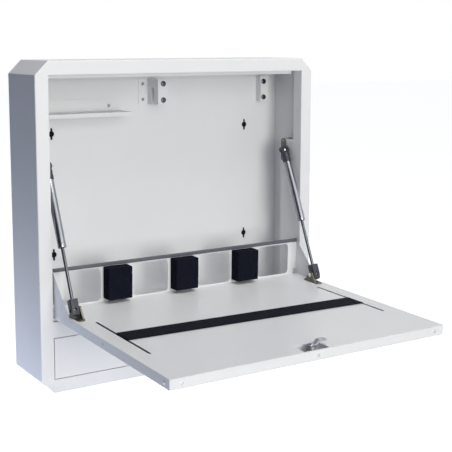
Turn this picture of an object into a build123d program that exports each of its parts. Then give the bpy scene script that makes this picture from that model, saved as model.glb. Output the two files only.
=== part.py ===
"""A wall cabinet that locks a laptop away: a shallow steel case whose front folds down as a desk.

The cabinet's front is the plane Y = 0 while it is drawn, its foot is Z = 0 and X = 0 is its middle.
Every piece is then moved so that the origin is the middle of the four keyholes on the back.
The desk is drawn flat, with its hinge line on X and its front edge toward -Y, and then tilted.
A strut is drawn upright on its lower ball joint, and then leaned into place.
"""

import os
from math import atan2, cos, degrees, radians, sin, sqrt

from build123d import *

# cabinet case
case_width = 600.0
case_height = 600.0
case_depth = 125.0
corner_cut = 25.0
case_sheet = 1.2
case_bend = 2.2
bezel_width = 25.0
fascia_top = 132.5
drawer_opening_top = 103.0
drawer_opening_foot = 25.5
jamb_depth = 25.5
head_depth = 24.0
drawer_jamb_depth = 10.0
jamb_slot_length = 15.0
jamb_slot_width = 1.2
jamb_slot_drops = (109.0, 81.0)
opening_half = case_width / 2 - bezel_width
head_height = case_height - bezel_width
inner_half = case_width / 2 - case_sheet
back_face = case_depth - case_sheet

# keyholes in the back
keyhole_side_inset = 81.5
keyhole_spacing_x = case_width - 2 * keyhole_side_inset
keyhole_spacing_z = 232.0
keyhole_middle_drop = 256.0
keyhole_middle_height = case_height - keyhole_middle_drop
keyhole_radius = 5.75
keyhole_slot_width = 4.3
keyhole_slot_length = 23.0

# stop strip under the head of the opening
strip_drop = 7.0
strip_foot = head_height - strip_drop
strip_gap = 0.2
strip_end_gap = 8.0
strip_length = 2 * (opening_half - strip_end_gap)
strip_leg = 14.0

# plates behind the jambs and the floor over the drawer
strut_plate_x = opening_half
strut_plate_back = 68.0
strut_plate_rise = 22.5
floor_underside = drawer_opening_top + 7.0
floor_level = floor_underside + case_sheet
floor_lip = 18.0

# drawer
drawer_gap = 1.2
drawer_side_gap = 13.0
drawer_side = opening_half - drawer_side_gap
drawer_back_gap = 7.8
drawer_back = back_face - drawer_back_gap
drawer_foot_gap = 4.5
drawer_foot = drawer_opening_foot + drawer_foot_gap
drawer_top_gap = 6.0
drawer_top = drawer_opening_top - drawer_top_gap
drawer_sheet = 1.0
drawer_face_return = 11.0
finger_width = 90.0
finger_depth = 18.0
drawer_screw_inset = 60.0
drawer_screw_x = opening_half - drawer_screw_inset

# drawer slides
rail_sheet = 1.0
rail_front = 14.0
rail_back_gap = 5.8
rail_back = back_face - rail_back_gap
rail_rise = 24.5
rail_foot = drawer_opening_foot + rail_rise
rail_height = 35.0
rail_top = rail_foot + rail_height
rail_reach = 9.4
rail_lip = 4.0
runner_front = 22.0
runner_back = rail_back - 6.0
runner_gap = 0.4
runner_neck = 1.4

# shelf in the top left corner
shelf_side_gap = 7.0
shelf_left = -case_width / 2 + shelf_side_gap
shelf_length = 220.0
shelf_right = shelf_left + shelf_length
shelf_depth = 54.8
shelf_front = back_face - shelf_depth
shelf_drop = 74.7
shelf_level = head_height - shelf_drop
shelf_lip = 7.6
shelf_lip_foot = shelf_level - shelf_lip
shelf_back_rise = 23.2
shelf_back_top = shelf_level + shelf_back_rise
shelf_screw_inset = 25.7
shelf_screw_rise = 9.6
shelf_screw_height = shelf_level + shelf_screw_rise

# hanger brackets on the back
left_hanger_edge = -32.7
left_hanger_web = -12.8
left_hanger_depth = 44.8
left_hanger_front = back_face - left_hanger_depth
left_hanger_tip = 8.5
hanger_head_gap = 14.0
hanger_height = 51.5
hanger_top = head_height - hanger_head_gap
hanger_foot = hanger_top - hanger_height
left_rivet_x = -23.5
left_rivet_heights = (hanger_foot + 10.4, hanger_foot + 40.9)
left_screw_x = -1.5
left_screw_heights = (hanger_foot + 10.3, hanger_foot + 42.0)
hanger_slot_width = 11.2
hanger_slot_front = left_hanger_front + 16.7
hanger_slot_back = hanger_slot_front + hanger_slot_width
hanger_slot_height = 33.5
hanger_slot_top = hanger_foot + hanger_slot_height
right_hanger_side_gap = 27.0
right_hanger_web = opening_half - right_hanger_side_gap
right_hanger_depth = 17.8
right_hanger_front = back_face - right_hanger_depth
right_hanger_width = 20.0
right_hanger_tip = right_hanger_web + right_hanger_width
right_screw_x = right_hanger_web + 7.2
right_screw_heights = (hanger_foot + 8.1, hanger_foot + 40.8)

# desk
pivot_y = 8.5
pivot_rise = 14.2
pivot_height = fascia_top + pivot_rise
desk_droop_angle = 1.2
desk_side_gap = 2.0
desk_half_width = opening_half - desk_side_gap
desk_head_gap = 2.5
desk_length = head_height - pivot_height - desk_head_gap
desk_rear = 10.7
desk_underside = -8.5
desk_level = 9.0
desk_sheet = 1.0
desk_bend = 1.6
rear_lip_top = -1.0
skin_flange_foot = -4.0
skin_flange_rear = 15.0
edge_screw_inset = 21.0
side_screw_distances = (206.0, desk_length - 15.8)

# web that stands up behind the desk
web_top = 80.0
window_foot = 11.3
window_top = 73.3
window_width = 74.5
window_corner = 8.0
window_inner_middle = 71.25
window_side_inset = 22.0
window_outer_edge = desk_half_width - window_side_inset
web_notch_inset = 34.0
web_notch_x = desk_half_width - web_notch_inset
gusset_length = 70.0
gusset_top = 78.0
gusset_nose = 4.0
web_foot_flange = 15.0
relief_height = 10.0
relief_length = 8.0
trim_foot = 76.0
trim_top = 82.6
trim_end_gap = 1.4
trim_half_width = desk_half_width - trim_end_gap
trim_side = 2.0

# foam blocks
foam_width = 48.5
foam_depth = 25.5
foam_height = 60.0
foam_rise = 6.3
foam_foot = desk_level + foam_rise
foam_middles = (-147.3, -4.4, 135.6)
foam_crown = 1.8
foam_round = 3.0
foam_gap = 0.3

# strap and its slots
strap_slot_inset = 32.5
strap_slot_x = desk_half_width - strap_slot_inset
strap_slot_start = 112.0
strap_slot_end = 308.5
strap_slot_width = 4.6
strap_width = 42.0
strap_thickness = 2.0
strap_left_middle = 212.0
strap_right_middle = 230.75
strap_lift = 0.4
strap_bar_radius = 1.9
strap_bar_depth = 2.6
strap_bar_overhang = 2.0

# lock
lock_edge_inset = 18.8
lock_distance = desk_length - lock_edge_inset
lock_recess_left = -26.2
lock_recess_right = 24.0
lock_recess_rear = lock_distance - 16.2
lock_recess_front = lock_distance + 15.8
lock_recess_round = 0.8
lock_recess_gap = 1.0
barrel_radius = 9.5
barrel_top = 10.6
barrel_rim_radius = 11.5
barrel_rim = 2.0
lock_nut_across = 26.0
lock_nut_foot = -7.5
lock_nut_thickness = 4.0
plug_radius = 6.2
plug_gap = 0.3
keyway_width = 1.6
keyway_length = 8.0
keyway_depth = 3.0
cam_thickness = 2.0
cam_foot = 11.0
cam_hub_radius = 8.0
cam_crank_start = 7.0
cam_crank_end = 13.5
cam_reach = 29.0
cam_eye_inset = 5.6
cam_eye_radius = 1.8
cam_hook_level = 17.1
cam_width = 12.0
cam_screw_radius = 3.8
cam_screw_head = 2.0

# fasteners
small_shank = 1.9
small_head = 3.2
small_head_height = 1.2
hanger_screw_shank = 2.9
hanger_screw_head = 5.4
hanger_screw_head_height = 2.6
flush_head_height = 0.5
fastener_gap = 0.1

# gas struts
strut_side_gap = 11.0
strut_x = opening_half - strut_side_gap
upper_ball_y = 41.0
upper_ball_rise = 263.8
upper_ball_height = pivot_height + upper_ball_rise
lower_ball_distance = 75.0
lower_ball_rise = 14.8
lower_ball_height = desk_level + lower_ball_rise
ball_radius = 4.0
ball_gap = 0.3
tube_radius = 7.5
tube_wall = 1.0
tube_start = 112.6
tube_end_gap = 21.0
tube_shoulder = 3.0
tube_groove = 5.0
tube_groove_radius = 0.6
tube_base = 3.0
rod_radius = 3.0
rod_gap = 0.05
rod_guide_length = 7.0
piston_gap = 0.3
piston_length = 6.0
piston_clearance = 2.5
lower_socket_top = 19.5
lower_socket_half = 7.0
lower_socket_depth = 8.0
lower_socket_taper = -1.0
lower_socket_foot = -11.0
lower_socket_end = 5.0
lower_socket_thread = 12.0
lower_window_radius = 2.4
lower_window_length = 7.0
upper_collar_radius = 8.5
upper_collar_drop = 6.0
upper_skirt = 2.0
upper_head_radius = 9.0
upper_head_half = 5.0
upper_window_radius = 3.7
stud_gap = 0.4

# strut brackets
bracket_length = 48.0
bracket_width = 15.0
bracket_sheet = 2.0
desk_bracket_inset = 5.0
desk_bracket_x = strut_x - desk_bracket_inset
desk_bracket_distance = lower_ball_distance + 0.5
bracket_hole_inset = 5.5
desk_ear_inset = 12.0
desk_ear_x = strut_x - desk_ear_inset
desk_ear_sheet = 3.0
desk_ear_round = 6.3
desk_ear_spread = 17.0
wall_bracket_y = 58.3
wall_bracket_height = upper_ball_height - 1.0
wall_ear_y = 50.0
wall_ear_round = 6.0
wall_ear_spread = 14.0
stud_radius = 2.6

# pivots
pin_radius = 4.0
pin_gap = 0.05
pin_inset = 16.0
pin_inner_end = opening_half - pin_inset
pin_reach = 6.0
pin_outer_end = opening_half + pin_reach
pin_wall_gap = 0.15
bush_radius = 5.0
bush_flange_radius = 7.0
bush_flange = 1.5
pivot_block_inset = 17.0
pivot_block_x = opening_half - pivot_block_inset
pivot_block_rear = 9.0
pivot_block_front = 12.0

# stiffener under the desk top
stiffener_inset = 83.8
stiffener_distance = desk_length - stiffener_inset
stiffener_width = 26.0
stiffener_foot_width = 12.0
stiffener_end_gap = 48.0
stiffener_half_length = desk_half_width - stiffener_end_gap

SIDES = ((-1, "left"), (1, "right"))


def slab(x0, x1, y0, y1, z0, z1):
    """A block between two opposite corners."""
    size = Box(abs(x1 - x0), abs(y1 - y0), abs(z1 - z0))
    return Pos((x0 + x1) / 2, (y0 + y1) / 2, (z0 + z1) / 2) * size


def desk_slab(x0, x1, u0, u1, n0, n1):
    """A block of the desk: u is the distance in front of the hinge line, n the height over it."""
    return slab(x0, x1, -u1, -u0, n0, n1)


def round_x(x0, x1, y, z, radius):
    """A round bar along X."""
    return Pos((x0 + x1) / 2, y, z) * Rot(0, 90, 0) * Cylinder(radius, abs(x1 - x0))


def round_y(x, y0, y1, z, radius):
    """A round bar along Y."""
    return Pos(x, (y0 + y1) / 2, z) * Rot(90, 0, 0) * Cylinder(radius, abs(y1 - y0))


def round_z(x, y, z0, z1, radius):
    """A round bar along Z."""
    return Pos(x, y, (z0 + z1) / 2) * Cylinder(radius, abs(z1 - z0))


def prism(points, direction, length):
    """A flat outline pushed along a direction."""
    return extrude(make_face(Polyline(*points, close=True)), amount=length, dir=direction)


def outline(inset, y0, y1):
    """The cabinet's outline with its four cut corners, set in by a sheet or more."""
    half = case_width / 2 - inset
    foot = inset
    top = case_height - inset
    cut = corner_cut - inset * (2 - sqrt(2))
    ring = (
        (-half + cut, y0, foot),
        (half - cut, y0, foot),
        (half, y0, foot + cut),
        (half, y0, top - cut),
        (half - cut, y0, top),
        (-half + cut, y0, top),
        (-half, y0, top - cut),
        (-half, y0, foot + cut),
    )
    return prism(ring, (0, 1, 0), y1 - y0)


def away_from(shape, axis, place):
    """The edges that don't lie in the plane at one place along an axis."""
    found = []
    for edge in shape.edges():
        box = edge.bounding_box()
        low = (box.min.X, box.min.Y, box.min.Z)[axis]
        high = (box.max.X, box.max.Y, box.max.Z)[axis]
        if abs(low - place) > 0.01 or abs(high - place) > 0.01:
            found.append(edge)
    return found


def cabinet_shell():
    """The folded case: its eight sides, its front frame and the returns round both openings."""
    outer = outline(0, 0, case_depth)
    outer = fillet(away_from(outer, 1, case_depth), case_bend)
    inner = outline(case_sheet, case_sheet, case_depth + 1)
    inner = fillet(away_from(inner, 1, case_depth + 1), case_bend - case_sheet)
    shell = outer - inner
    shell -= slab(-opening_half, opening_half, -1, case_sheet + 1, fascia_top, head_height)
    shell -= slab(
        -opening_half, opening_half, -1, case_sheet + 1, drawer_opening_foot, drawer_opening_top
    )
    outside = opening_half + case_sheet
    for side in (-1, 1):
        jamb = slab(side * opening_half, side * outside, 0.6, jamb_depth, fascia_top, head_height)
        slot_back = jamb_depth - 0.6
        for drop in jamb_slot_drops:
            height = head_height - drop
            jamb -= slab(
                side * (opening_half - 1),
                side * (outside + 1),
                slot_back - jamb_slot_length,
                slot_back,
                height - jamb_slot_width / 2,
                height + jamb_slot_width / 2,
            )
        jamb -= round_x(
            side * (opening_half - 1), side * (outside + 1), pivot_y, pivot_height, bush_radius
        )
        shell += jamb
        shell += slab(
            side * opening_half,
            side * outside,
            0.6,
            drawer_jamb_depth,
            drawer_opening_foot,
            drawer_opening_top,
        )
    shell += slab(
        -outside, outside, 0.6, head_depth, head_height, head_height + case_sheet
    )
    for height in (drawer_opening_foot - case_sheet, drawer_opening_top, fascia_top - case_sheet):
        shell += slab(-outside, outside, 0.6, drawer_jamb_depth, height, height + case_sheet)
    return shell


def keyhole(x, height):
    """The cutter for one keyhole: a round hole with a narrow slot above and below."""
    y0 = back_face - 1
    y1 = case_depth + 1
    half = keyhole_slot_length / 2 - keyhole_slot_width / 2
    cutter = round_y(x, y0, y1, height, keyhole_radius)
    cutter += slab(
        x - keyhole_slot_width / 2, x + keyhole_slot_width / 2, y0, y1, height - half, height + half
    )
    for end in (-half, half):
        cutter += round_y(x, y0, y1, height + end, keyhole_slot_width / 2)
    return cutter


def back_panel():
    """The flat back, welded into the case, with the keyholes that hang it on four wall screws."""
    panel = outline(case_sheet, back_face, case_depth)
    panel = fillet(panel.edges().filter_by(Axis.Y), case_bend - case_sheet)
    for x in (-keyhole_spacing_x / 2, keyhole_spacing_x / 2):
        for rise in (-keyhole_spacing_z / 2, keyhole_spacing_z / 2):
            panel -= keyhole(x, keyhole_middle_height + rise)
    inset = shelf_screw_inset
    for x in (shelf_left + inset, shelf_right - inset):
        panel -= round_y(x, back_face - 1, case_depth + 1, shelf_screw_height, small_shank)
    for height in left_rivet_heights:
        panel -= round_y(left_rivet_x, back_face - 1, case_depth + 1, height, small_shank)
    return panel


def top_stop_strip():
    """An angle strip on the head of the opening: the lock's cam hooks behind its hanging leg."""
    y0 = head_depth + strip_gap
    y1 = y0 + case_sheet
    top = head_height + 2 * case_sheet
    half = strip_length / 2
    strip = slab(-half, half, y0, y1, strip_foot, top)
    strip += slab(-half, half, y1 - strip_leg, y1, head_height + case_sheet, top)
    return strip


def strut_plate(side):
    """The upright plate behind a jamb, bent out to the side of the case, that carries a strut."""
    inside = strut_plate_x
    outside = strut_plate_x + case_sheet
    top = upper_ball_height + strut_plate_rise
    plate = slab(
        side * inside, side * outside, jamb_depth, strut_plate_back, floor_level, top
    )
    plate += slab(
        side * inside,
        side * inner_half,
        strut_plate_back - case_sheet,
        strut_plate_back,
        floor_level,
        top,
    )
    for offset in wall_hole_offsets():
        plate -= round_x(
            side * (inside - 1),
            side * (outside + 1),
            wall_bracket_y,
            wall_bracket_height + offset,
            small_shank,
        )
    return plate


def compartment_floor():
    """The floor over the drawer, with a lip folded up behind the fascia."""
    floor = slab(-inner_half, inner_half, case_bend, back_face, floor_underside, floor_level)
    floor += slab(
        -opening_half, opening_half, case_sheet, case_bend, floor_underside, floor_level
    )
    lip = slab(
        -opening_half,
        opening_half,
        case_sheet,
        2 * case_sheet,
        floor_level,
        floor_level + floor_lip,
    )
    return floor + lip


def slide_support(side):
    """The channel that carries a drawer slide in from the side of the case."""
    foot = rail_foot - 4
    top = rail_top + 4
    inside = opening_half
    support = slab(
        side * inside, side * (inside + case_sheet), rail_front, rail_back, foot, top
    )
    for z0 in (foot, top - case_sheet):
        support += slab(
            side * inside, side * inner_half, rail_front, rail_back, z0, z0 + case_sheet
        )
    return support


def drawer_guide(side):
    """The fixed half of a drawer slide: a channel with its lips turned in."""
    base = opening_half
    mouth = base - rail_reach
    guide = slab(side * mouth, side * base, rail_front, rail_back, rail_foot, rail_top)
    guide -= slab(
        side * (mouth - 1),
        side * (base - rail_sheet),
        rail_front - 1,
        rail_back + 1,
        rail_foot + rail_lip,
        rail_top - rail_lip,
    )
    guide -= slab(
        side * (mouth + rail_sheet),
        side * (base - rail_sheet),
        rail_front - 1,
        rail_back + 1,
        rail_foot + rail_sheet,
        rail_top - rail_sheet,
    )
    return guide


def drawer_runner(side):
    """The moving half of a drawer slide: a hat section whose feet run behind the guide's lips."""
    lip_back = opening_half - rail_reach + rail_sheet
    foot_inside = lip_back + runner_neck
    neck_foot = rail_foot + rail_lip + runner_neck
    neck_top = rail_top - rail_lip - runner_neck
    runner = slab(
        side * drawer_side,
        side * (foot_inside + rail_sheet),
        runner_front,
        runner_back,
        neck_foot,
        neck_top,
    )
    runner -= slab(
        side * (drawer_side + rail_sheet),
        side * (foot_inside + rail_sheet + 1),
        runner_front - 1,
        runner_back + 1,
        neck_foot + rail_sheet,
        neck_top - rail_sheet,
    )
    reach_foot = rail_foot + rail_sheet + runner_gap
    reach_top = rail_top - rail_sheet - runner_gap
    for z0, z1 in ((reach_foot, neck_foot + rail_sheet), (neck_top - rail_sheet, reach_top)):
        runner += slab(
            side * foot_inside,
            side * (foot_inside + rail_sheet),
            runner_front,
            runner_back,
            z0,
            z1,
        )
    return runner


def finger_notch(y0, y1, top):
    """The cutter for the rounded finger notch in the drawer's upper edge."""
    notch = slab(-finger_width / 2, finger_width / 2, y0, y1, top - finger_depth, top + 5)
    lower = notch.edges().filter_by(Axis.Y).sort_by(Axis.Z)[:2]
    return fillet(lower, finger_depth / 2)


def drawer_front():
    """The drawer's face, a shallow pan that closes flush with the cabinet's front."""
    half = opening_half - drawer_gap
    z0 = drawer_opening_foot + drawer_gap
    z1 = drawer_opening_top - drawer_gap
    face = slab(-half, half, 0, drawer_face_return, z0, z1)
    face -= slab(
        -half + case_sheet,
        half - case_sheet,
        case_sheet,
        drawer_face_return + 1,
        z0 + case_sheet,
        z1 - case_sheet,
    )
    face -= finger_notch(-1, drawer_face_return + 1, z1)
    for x, z in drawer_screw_places():
        face -= round_y(x, case_sheet / 2, case_sheet + 1, z, small_shank)
    return face


def drawer_screw_places():
    """Where the tray's front wall is screwed to the face."""
    middle = (drawer_foot + drawer_top) / 2
    rise = (drawer_top - drawer_foot) / 4
    return [
        (side * drawer_screw_x, middle + step * rise) for side in (-1, 1) for step in (-1, 1)
    ]


def drawer_tray():
    """The drawer's open tray."""
    side = drawer_side
    tray = slab(-side, side, case_sheet, drawer_back, drawer_foot, drawer_top)
    tray -= slab(
        -side + drawer_sheet,
        side - drawer_sheet,
        case_sheet + drawer_sheet,
        drawer_back - drawer_sheet,
        drawer_foot + drawer_sheet,
        drawer_top + 1,
    )
    tray -= finger_notch(0, case_sheet + drawer_sheet + 2, drawer_opening_top - drawer_gap)
    for x, z in drawer_screw_places():
        tray -= round_y(x, case_sheet - 1, case_sheet + drawer_sheet + 1, z, small_shank)
    return tray


def drawer_screws():
    """Four screws from inside the tray into the drawer's face."""
    screws = Part()
    head = case_sheet + drawer_sheet
    for x, z in drawer_screw_places():
        screws += round_y(x, case_sheet / 2, head, z, small_shank)
        screws += round_y(x, head, head + small_head_height, z, small_head)
    return screws


def accessory_shelf():
    """A small folded shelf for the mouse and the charger, screwed to the back."""
    t = case_sheet
    shelf = slab(shelf_left, shelf_right, shelf_front, back_face, shelf_level - t, shelf_level)
    shelf += slab(
        shelf_left, shelf_right, shelf_front, shelf_front + t, shelf_lip_foot, shelf_level
    )
    shelf += slab(
        shelf_left, shelf_right, back_face - t, back_face, shelf_level - t, shelf_back_top
    )
    for x in (shelf_left + shelf_screw_inset, shelf_right - shelf_screw_inset):
        shelf -= round_y(x, back_face - t - 1, back_face + 1, shelf_screw_height, small_shank)
    return shelf


def shelf_screws():
    """Two screws that hold the shelf."""
    screws = Part()
    head = back_face - case_sheet
    for x in (shelf_left + shelf_screw_inset, shelf_right - shelf_screw_inset):
        screws += round_y(x, head, case_depth, shelf_screw_height, small_shank)
        screws += round_y(x, head - small_head_height, head, shelf_screw_height, small_head)
    return screws


def left_hanger_bracket():
    """The left bracket: a foot on the back, a slotted web coming forward and a front flange."""
    t = case_sheet
    z0 = hanger_foot
    z1 = hanger_top
    bracket = slab(left_hanger_edge, left_hanger_web, back_face - t, back_face, z0, z1)
    bracket += slab(
        left_hanger_web, left_hanger_web + t, left_hanger_front, back_face, z0 + 1.5, z1 - 1.5
    )
    bracket += slab(
        left_hanger_web,
        left_hanger_tip,
        left_hanger_front,
        left_hanger_front + t,
        z0 + 1.5,
        z1 - 1.5,
    )
    bracket -= slab(
        left_hanger_web - 1,
        left_hanger_web + t + 1,
        hanger_slot_front,
        hanger_slot_back,
        z0 - 1,
        hanger_slot_top,
    )
    for height in left_rivet_heights:
        bracket -= round_y(left_rivet_x, back_face - t - 1, back_face + 1, height, small_shank)
    middle = (z0 + z1) / 2
    bracket -= slab(
        left_hanger_edge - 1, left_hanger_edge + 4, back_face - t - 1, back_face + 1,
        middle - 2, middle + 2,
    )
    for height in left_screw_heights:
        bracket -= round_y(
            left_screw_x, left_hanger_front - 1, left_hanger_front + t + 1, height,
            hanger_screw_shank,
        )
    return bracket


def left_bracket_rivets():
    """Two rivets through the left bracket's foot and the back."""
    rivets = Part()
    head = back_face - case_sheet
    for height in left_rivet_heights:
        rivets += round_y(left_rivet_x, head, case_depth, height, small_shank)
        rivets += round_y(left_rivet_x, head - small_head_height, head, height, small_head)
    return rivets


def flange_screws(x, heights, front, length):
    """Dark pan-head screws in the front flange of a hanger bracket."""
    screws = Part()
    for height in heights:
        screws += round_y(x, front, front + length, height, hanger_screw_shank)
        screws += round_y(
            x, front - hanger_screw_head_height, front, height, hanger_screw_head
        )
    return screws


def right_hanger_bracket():
    """The right bracket: a channel that stands on the back with its web toward the middle."""
    t = case_sheet
    z0 = hanger_foot
    z1 = hanger_top
    bracket = slab(right_hanger_web, right_hanger_web + t, right_hanger_front, back_face, z0, z1)
    for y0 in (right_hanger_front, back_face - t):
        bracket += slab(right_hanger_web, right_hanger_tip, y0, y0 + t, z0, z1)
    for height in right_screw_heights:
        bracket -= round_y(
            right_screw_x, right_hanger_front - 1, right_hanger_front + t + 1, height,
            hanger_screw_shank,
        )
    return bracket


def wall_hole_offsets():
    """How far a wall bracket's two screws are above and below its middle."""
    reach = bracket_length / 2 - bracket_hole_inset
    return (-reach, reach)


def oval_plate(length, width, thickness):
    """An oval base plate lying flat, its long axis on Y and its underside on Z = 0."""
    straight = length - width
    plate = slab(-width / 2, width / 2, -straight / 2, straight / 2, 0, thickness)
    for end in (-straight / 2, straight / 2):
        plate += round_z(0, end, 0, thickness, width / 2)
    return plate


def strut_wall_bracket(side):
    """An oval plate on the strut plate with an ear that stands in beside the strut's end."""
    base_x = strut_plate_x - bracket_sheet
    plate = Rot(90, 0, 0) * oval_plate(bracket_length, bracket_width, bracket_sheet)
    plate = Rot(0, 0, -90 * side) * plate
    plate = Pos(side * strut_plate_x, wall_bracket_y, wall_bracket_height) * plate
    back = wall_ear_y + bracket_sheet
    corners = (
        (side * base_x, wall_ear_y, upper_ball_height - wall_ear_spread),
        (side * strut_x, wall_ear_y, upper_ball_height - wall_ear_round),
        (side * strut_x, wall_ear_y, upper_ball_height + wall_ear_round),
        (side * base_x, wall_ear_y, upper_ball_height + wall_ear_spread),
    )
    ear = prism(corners, (0, 1, 0), bracket_sheet)
    ear += round_y(side * strut_x, wall_ear_y, back, upper_ball_height, wall_ear_round)
    ear -= round_y(
        side * strut_x, wall_ear_y - 1, back + 1, upper_ball_height, stud_radius
    )
    for offset in wall_hole_offsets():
        plate -= round_x(
            side * (base_x - 1),
            side * (strut_plate_x + 1),
            wall_bracket_y,
            wall_bracket_height + offset,
            small_shank,
        )
    return plate + ear


def wall_ball_studs():
    """The studs riveted through the wall brackets' ears, each ending at the back of a ball."""
    studs = Part()
    reach_y, reach_z = strut_reach()
    lean = atan2(reach_y, reach_z)
    tip = upper_ball_y + upper_head_half / cos(lean) + stud_radius * sin(lean) / cos(lean) + stud_gap
    for side in (-1, 1):
        x = side * strut_x
        back = wall_ear_y + bracket_sheet
        studs += round_y(x, tip, back, upper_ball_height, stud_radius)
        studs += round_y(x, wall_ear_y - 1, wall_ear_y, upper_ball_height, stud_radius + 1)
        studs += round_y(x, back, back + 1.5, upper_ball_height, stud_radius + 1.4)
    return studs


def wall_bracket_screws():
    """Four screws that hold the wall brackets to the strut plates."""
    screws = Part()
    for side in (-1, 1):
        head = strut_plate_x - bracket_sheet
        for offset in wall_hole_offsets():
            height = wall_bracket_height + offset
            screws += round_x(
                side * head, side * (strut_plate_x + 4), wall_bracket_y, height, small_shank
            )
            screws += round_x(
                side * (head - small_head_height), side * head, wall_bracket_y, height, small_head
            )
    return screws


def pivot_bushes():
    """A flanged nylon bush in each jamb, in which the desk's pins turn."""
    bushes = Part()
    for side in (-1, 1):
        inner = opening_half - bush_flange
        outer = opening_half + case_sheet + 0.8
        bush = round_x(side * inner, side * opening_half, pivot_y, pivot_height, bush_flange_radius)
        bush += round_x(side * opening_half, side * outer, pivot_y, pivot_height, bush_radius)
        bush -= round_x(
            side * (inner - 1), side * (outer + 1), pivot_y, pivot_height, pin_radius + pin_gap
        )
        bushes += bush
    return bushes


def desk_outer_pan():
    """The desk's outer pan: the cabinet's front when it is shut."""
    half = desk_half_width
    t = desk_sheet
    top = desk_level - t
    pan = desk_slab(-half, half, -desk_rear, desk_length, desk_underside, top)
    lower = [edge for edge in pan.edges() if edge.center().Z < desk_underside + 0.01]
    upright = pan.edges().filter_by(Axis.Z)
    corners = [edge for edge in upright if edge.center().Y < -desk_length + 1]
    pan = fillet(lower + corners, desk_bend)
    inside = desk_slab(
        -half + t, half - t, -desk_rear + t, desk_length - t, desk_underside + t, top + 1
    )
    pan -= inside
    pan -= desk_slab(-half + t, half - t, -desk_rear - 1, -desk_rear + t + 1, rear_lip_top, top + 1)
    for side in (-1, 1):
        pan -= round_x(
            side * (half - t - 1), side * (half + 1), 0, 0, pin_radius + pin_wall_gap
        )
    pan -= round_z(0, -lock_distance, desk_underside - 1, desk_underside + t + 1, barrel_radius)
    for x, u in edge_screw_places():
        pan -= edge_screw(x, u, 0)
    return pan


def edge_screw_places():
    """Where the desk's pan and top are screwed together: x and u of each screw in an edge."""
    outer = desk_half_width - edge_screw_inset
    front = [(x, desk_length) for x in (-outer, 0.0, outer)]
    sides = [(side * desk_half_width, u) for side in (-1, 1) for u in side_screw_distances]
    return front + sides


def edge_screw(x, u, head):
    """One edge screw, or with no head the hole it goes in."""
    depth = 4.0
    if abs(u - desk_length) < 0.01:
        screw = round_y(x, -u, -u + depth, 0, small_shank)
        if head:
            screw += round_y(x, -u - head, -u, 0, small_head)
        return screw
    side = 1 if x > 0 else -1
    screw = round_x(x, x - side * depth, -u, 0, small_shank)
    if head:
        screw += round_x(x, x + side * head, -u, 0, small_head)
    return screw


def desk_edge_screws():
    """Low-headed screws in the desk's edges that join its pan and its top."""
    screws = Part()
    for x, u in edge_screw_places():
        screws += edge_screw(x, u, flush_head_height)
    return screws


def desk_inner_skin():
    """The desk's top, with flanges turned down inside the pan."""
    t = desk_sheet
    half = desk_half_width
    skin = desk_slab(-half, half, 0, desk_length, desk_level - t, desk_level)
    inner = half - t
    front = desk_length - t
    for side in (-1, 1):
        skin += desk_slab(
            side * (inner - t), side * inner, skin_flange_rear, front, skin_flange_foot, desk_level
        )
    skin += desk_slab(-inner, inner, front - t, front, skin_flange_foot, desk_level)
    for side in (-1, 1):
        skin -= desk_slab(
            side * strap_slot_x - strap_slot_width / 2,
            side * strap_slot_x + strap_slot_width / 2,
            strap_slot_start,
            strap_slot_end,
            desk_level - t - 1,
            desk_level + 1,
        )
        for u in desk_rivet_places():
            skin -= round_z(side * desk_bracket_x, -u, desk_level - t - 1, desk_level + 1, small_shank)
    recess = desk_slab(
        lock_recess_left,
        lock_recess_right,
        lock_recess_rear,
        lock_recess_front,
        desk_level - t - 1,
        desk_level + 1,
    )
    skin -= fillet(recess.edges().filter_by(Axis.Z), lock_recess_round)
    foot = desk_underside + t + lock_recess_gap
    left = lock_recess_left - t
    right = lock_recess_right + t
    rear = lock_recess_rear - t
    skin += desk_slab(left, right, rear, lock_recess_rear, foot, desk_level - t)
    skin += desk_slab(left, lock_recess_left, rear, lock_recess_front, foot, desk_level - t)
    skin += desk_slab(lock_recess_right, right, rear, lock_recess_front, foot, desk_level - t)
    for x, u in edge_screw_places():
        skin -= edge_screw(x, u, 0)
    return skin


def desk_stiffener():
    """A hat-section rib between the desk's pan and its top."""
    t = desk_sheet
    foot = desk_underside + t
    top = desk_level - t
    half = stiffener_half_length
    u0 = stiffener_distance - stiffener_width / 2
    u1 = stiffener_distance + stiffener_width / 2
    rib = desk_slab(-half, half, u0, u1, foot, top)
    rib -= desk_slab(-half - 1, half + 1, u0 + t, u1 - t, foot - 1, top - t)
    rib += desk_slab(-half, half, u0 - stiffener_foot_width, u0, foot, foot + t)
    rib += desk_slab(-half, half, u1, u1 + stiffener_foot_width, foot, foot + t)
    return rib


def rear_web():
    """The upright web behind the desk with four windows, and a gusset folded at each end."""
    t = desk_sheet
    half = desk_half_width
    foot = desk_underside + t
    web = desk_slab(-half, half, -t, 0, desk_level, web_top)
    web += desk_slab(-web_notch_x, web_notch_x, -t, 0, foot, desk_level)
    web += desk_slab(-web_notch_x, web_notch_x, 0, web_foot_flange, foot, foot + t)
    centres = (-window_outer_edge + window_width / 2, -window_inner_middle)
    for x in centres:
        for side in (-1, 1):
            window = desk_slab(
                side * x - window_width / 2,
                side * x + window_width / 2,
                -t - 1,
                1,
                window_foot,
                window_top,
            )
            web -= fillet(window.edges().filter_by(Axis.Y), window_corner)
    for side in (-1, 1):
        x0 = side * (half - t)
        corners = (
            (x0, t, desk_level),
            (x0, t, gusset_top),
            (x0, -gusset_nose, gusset_top),
            (x0, -gusset_length, desk_level + gusset_nose),
            (x0, -gusset_length, desk_level),
        )
        gusset = prism(corners, (side, 0, 0), t)
        web += gusset
        web -= desk_slab(
            side * (half - relief_length),
            side * (half + 1),
            -t - 1,
            relief_length,
            desk_level - 1,
            desk_level + relief_height,
        )
    return web


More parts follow.
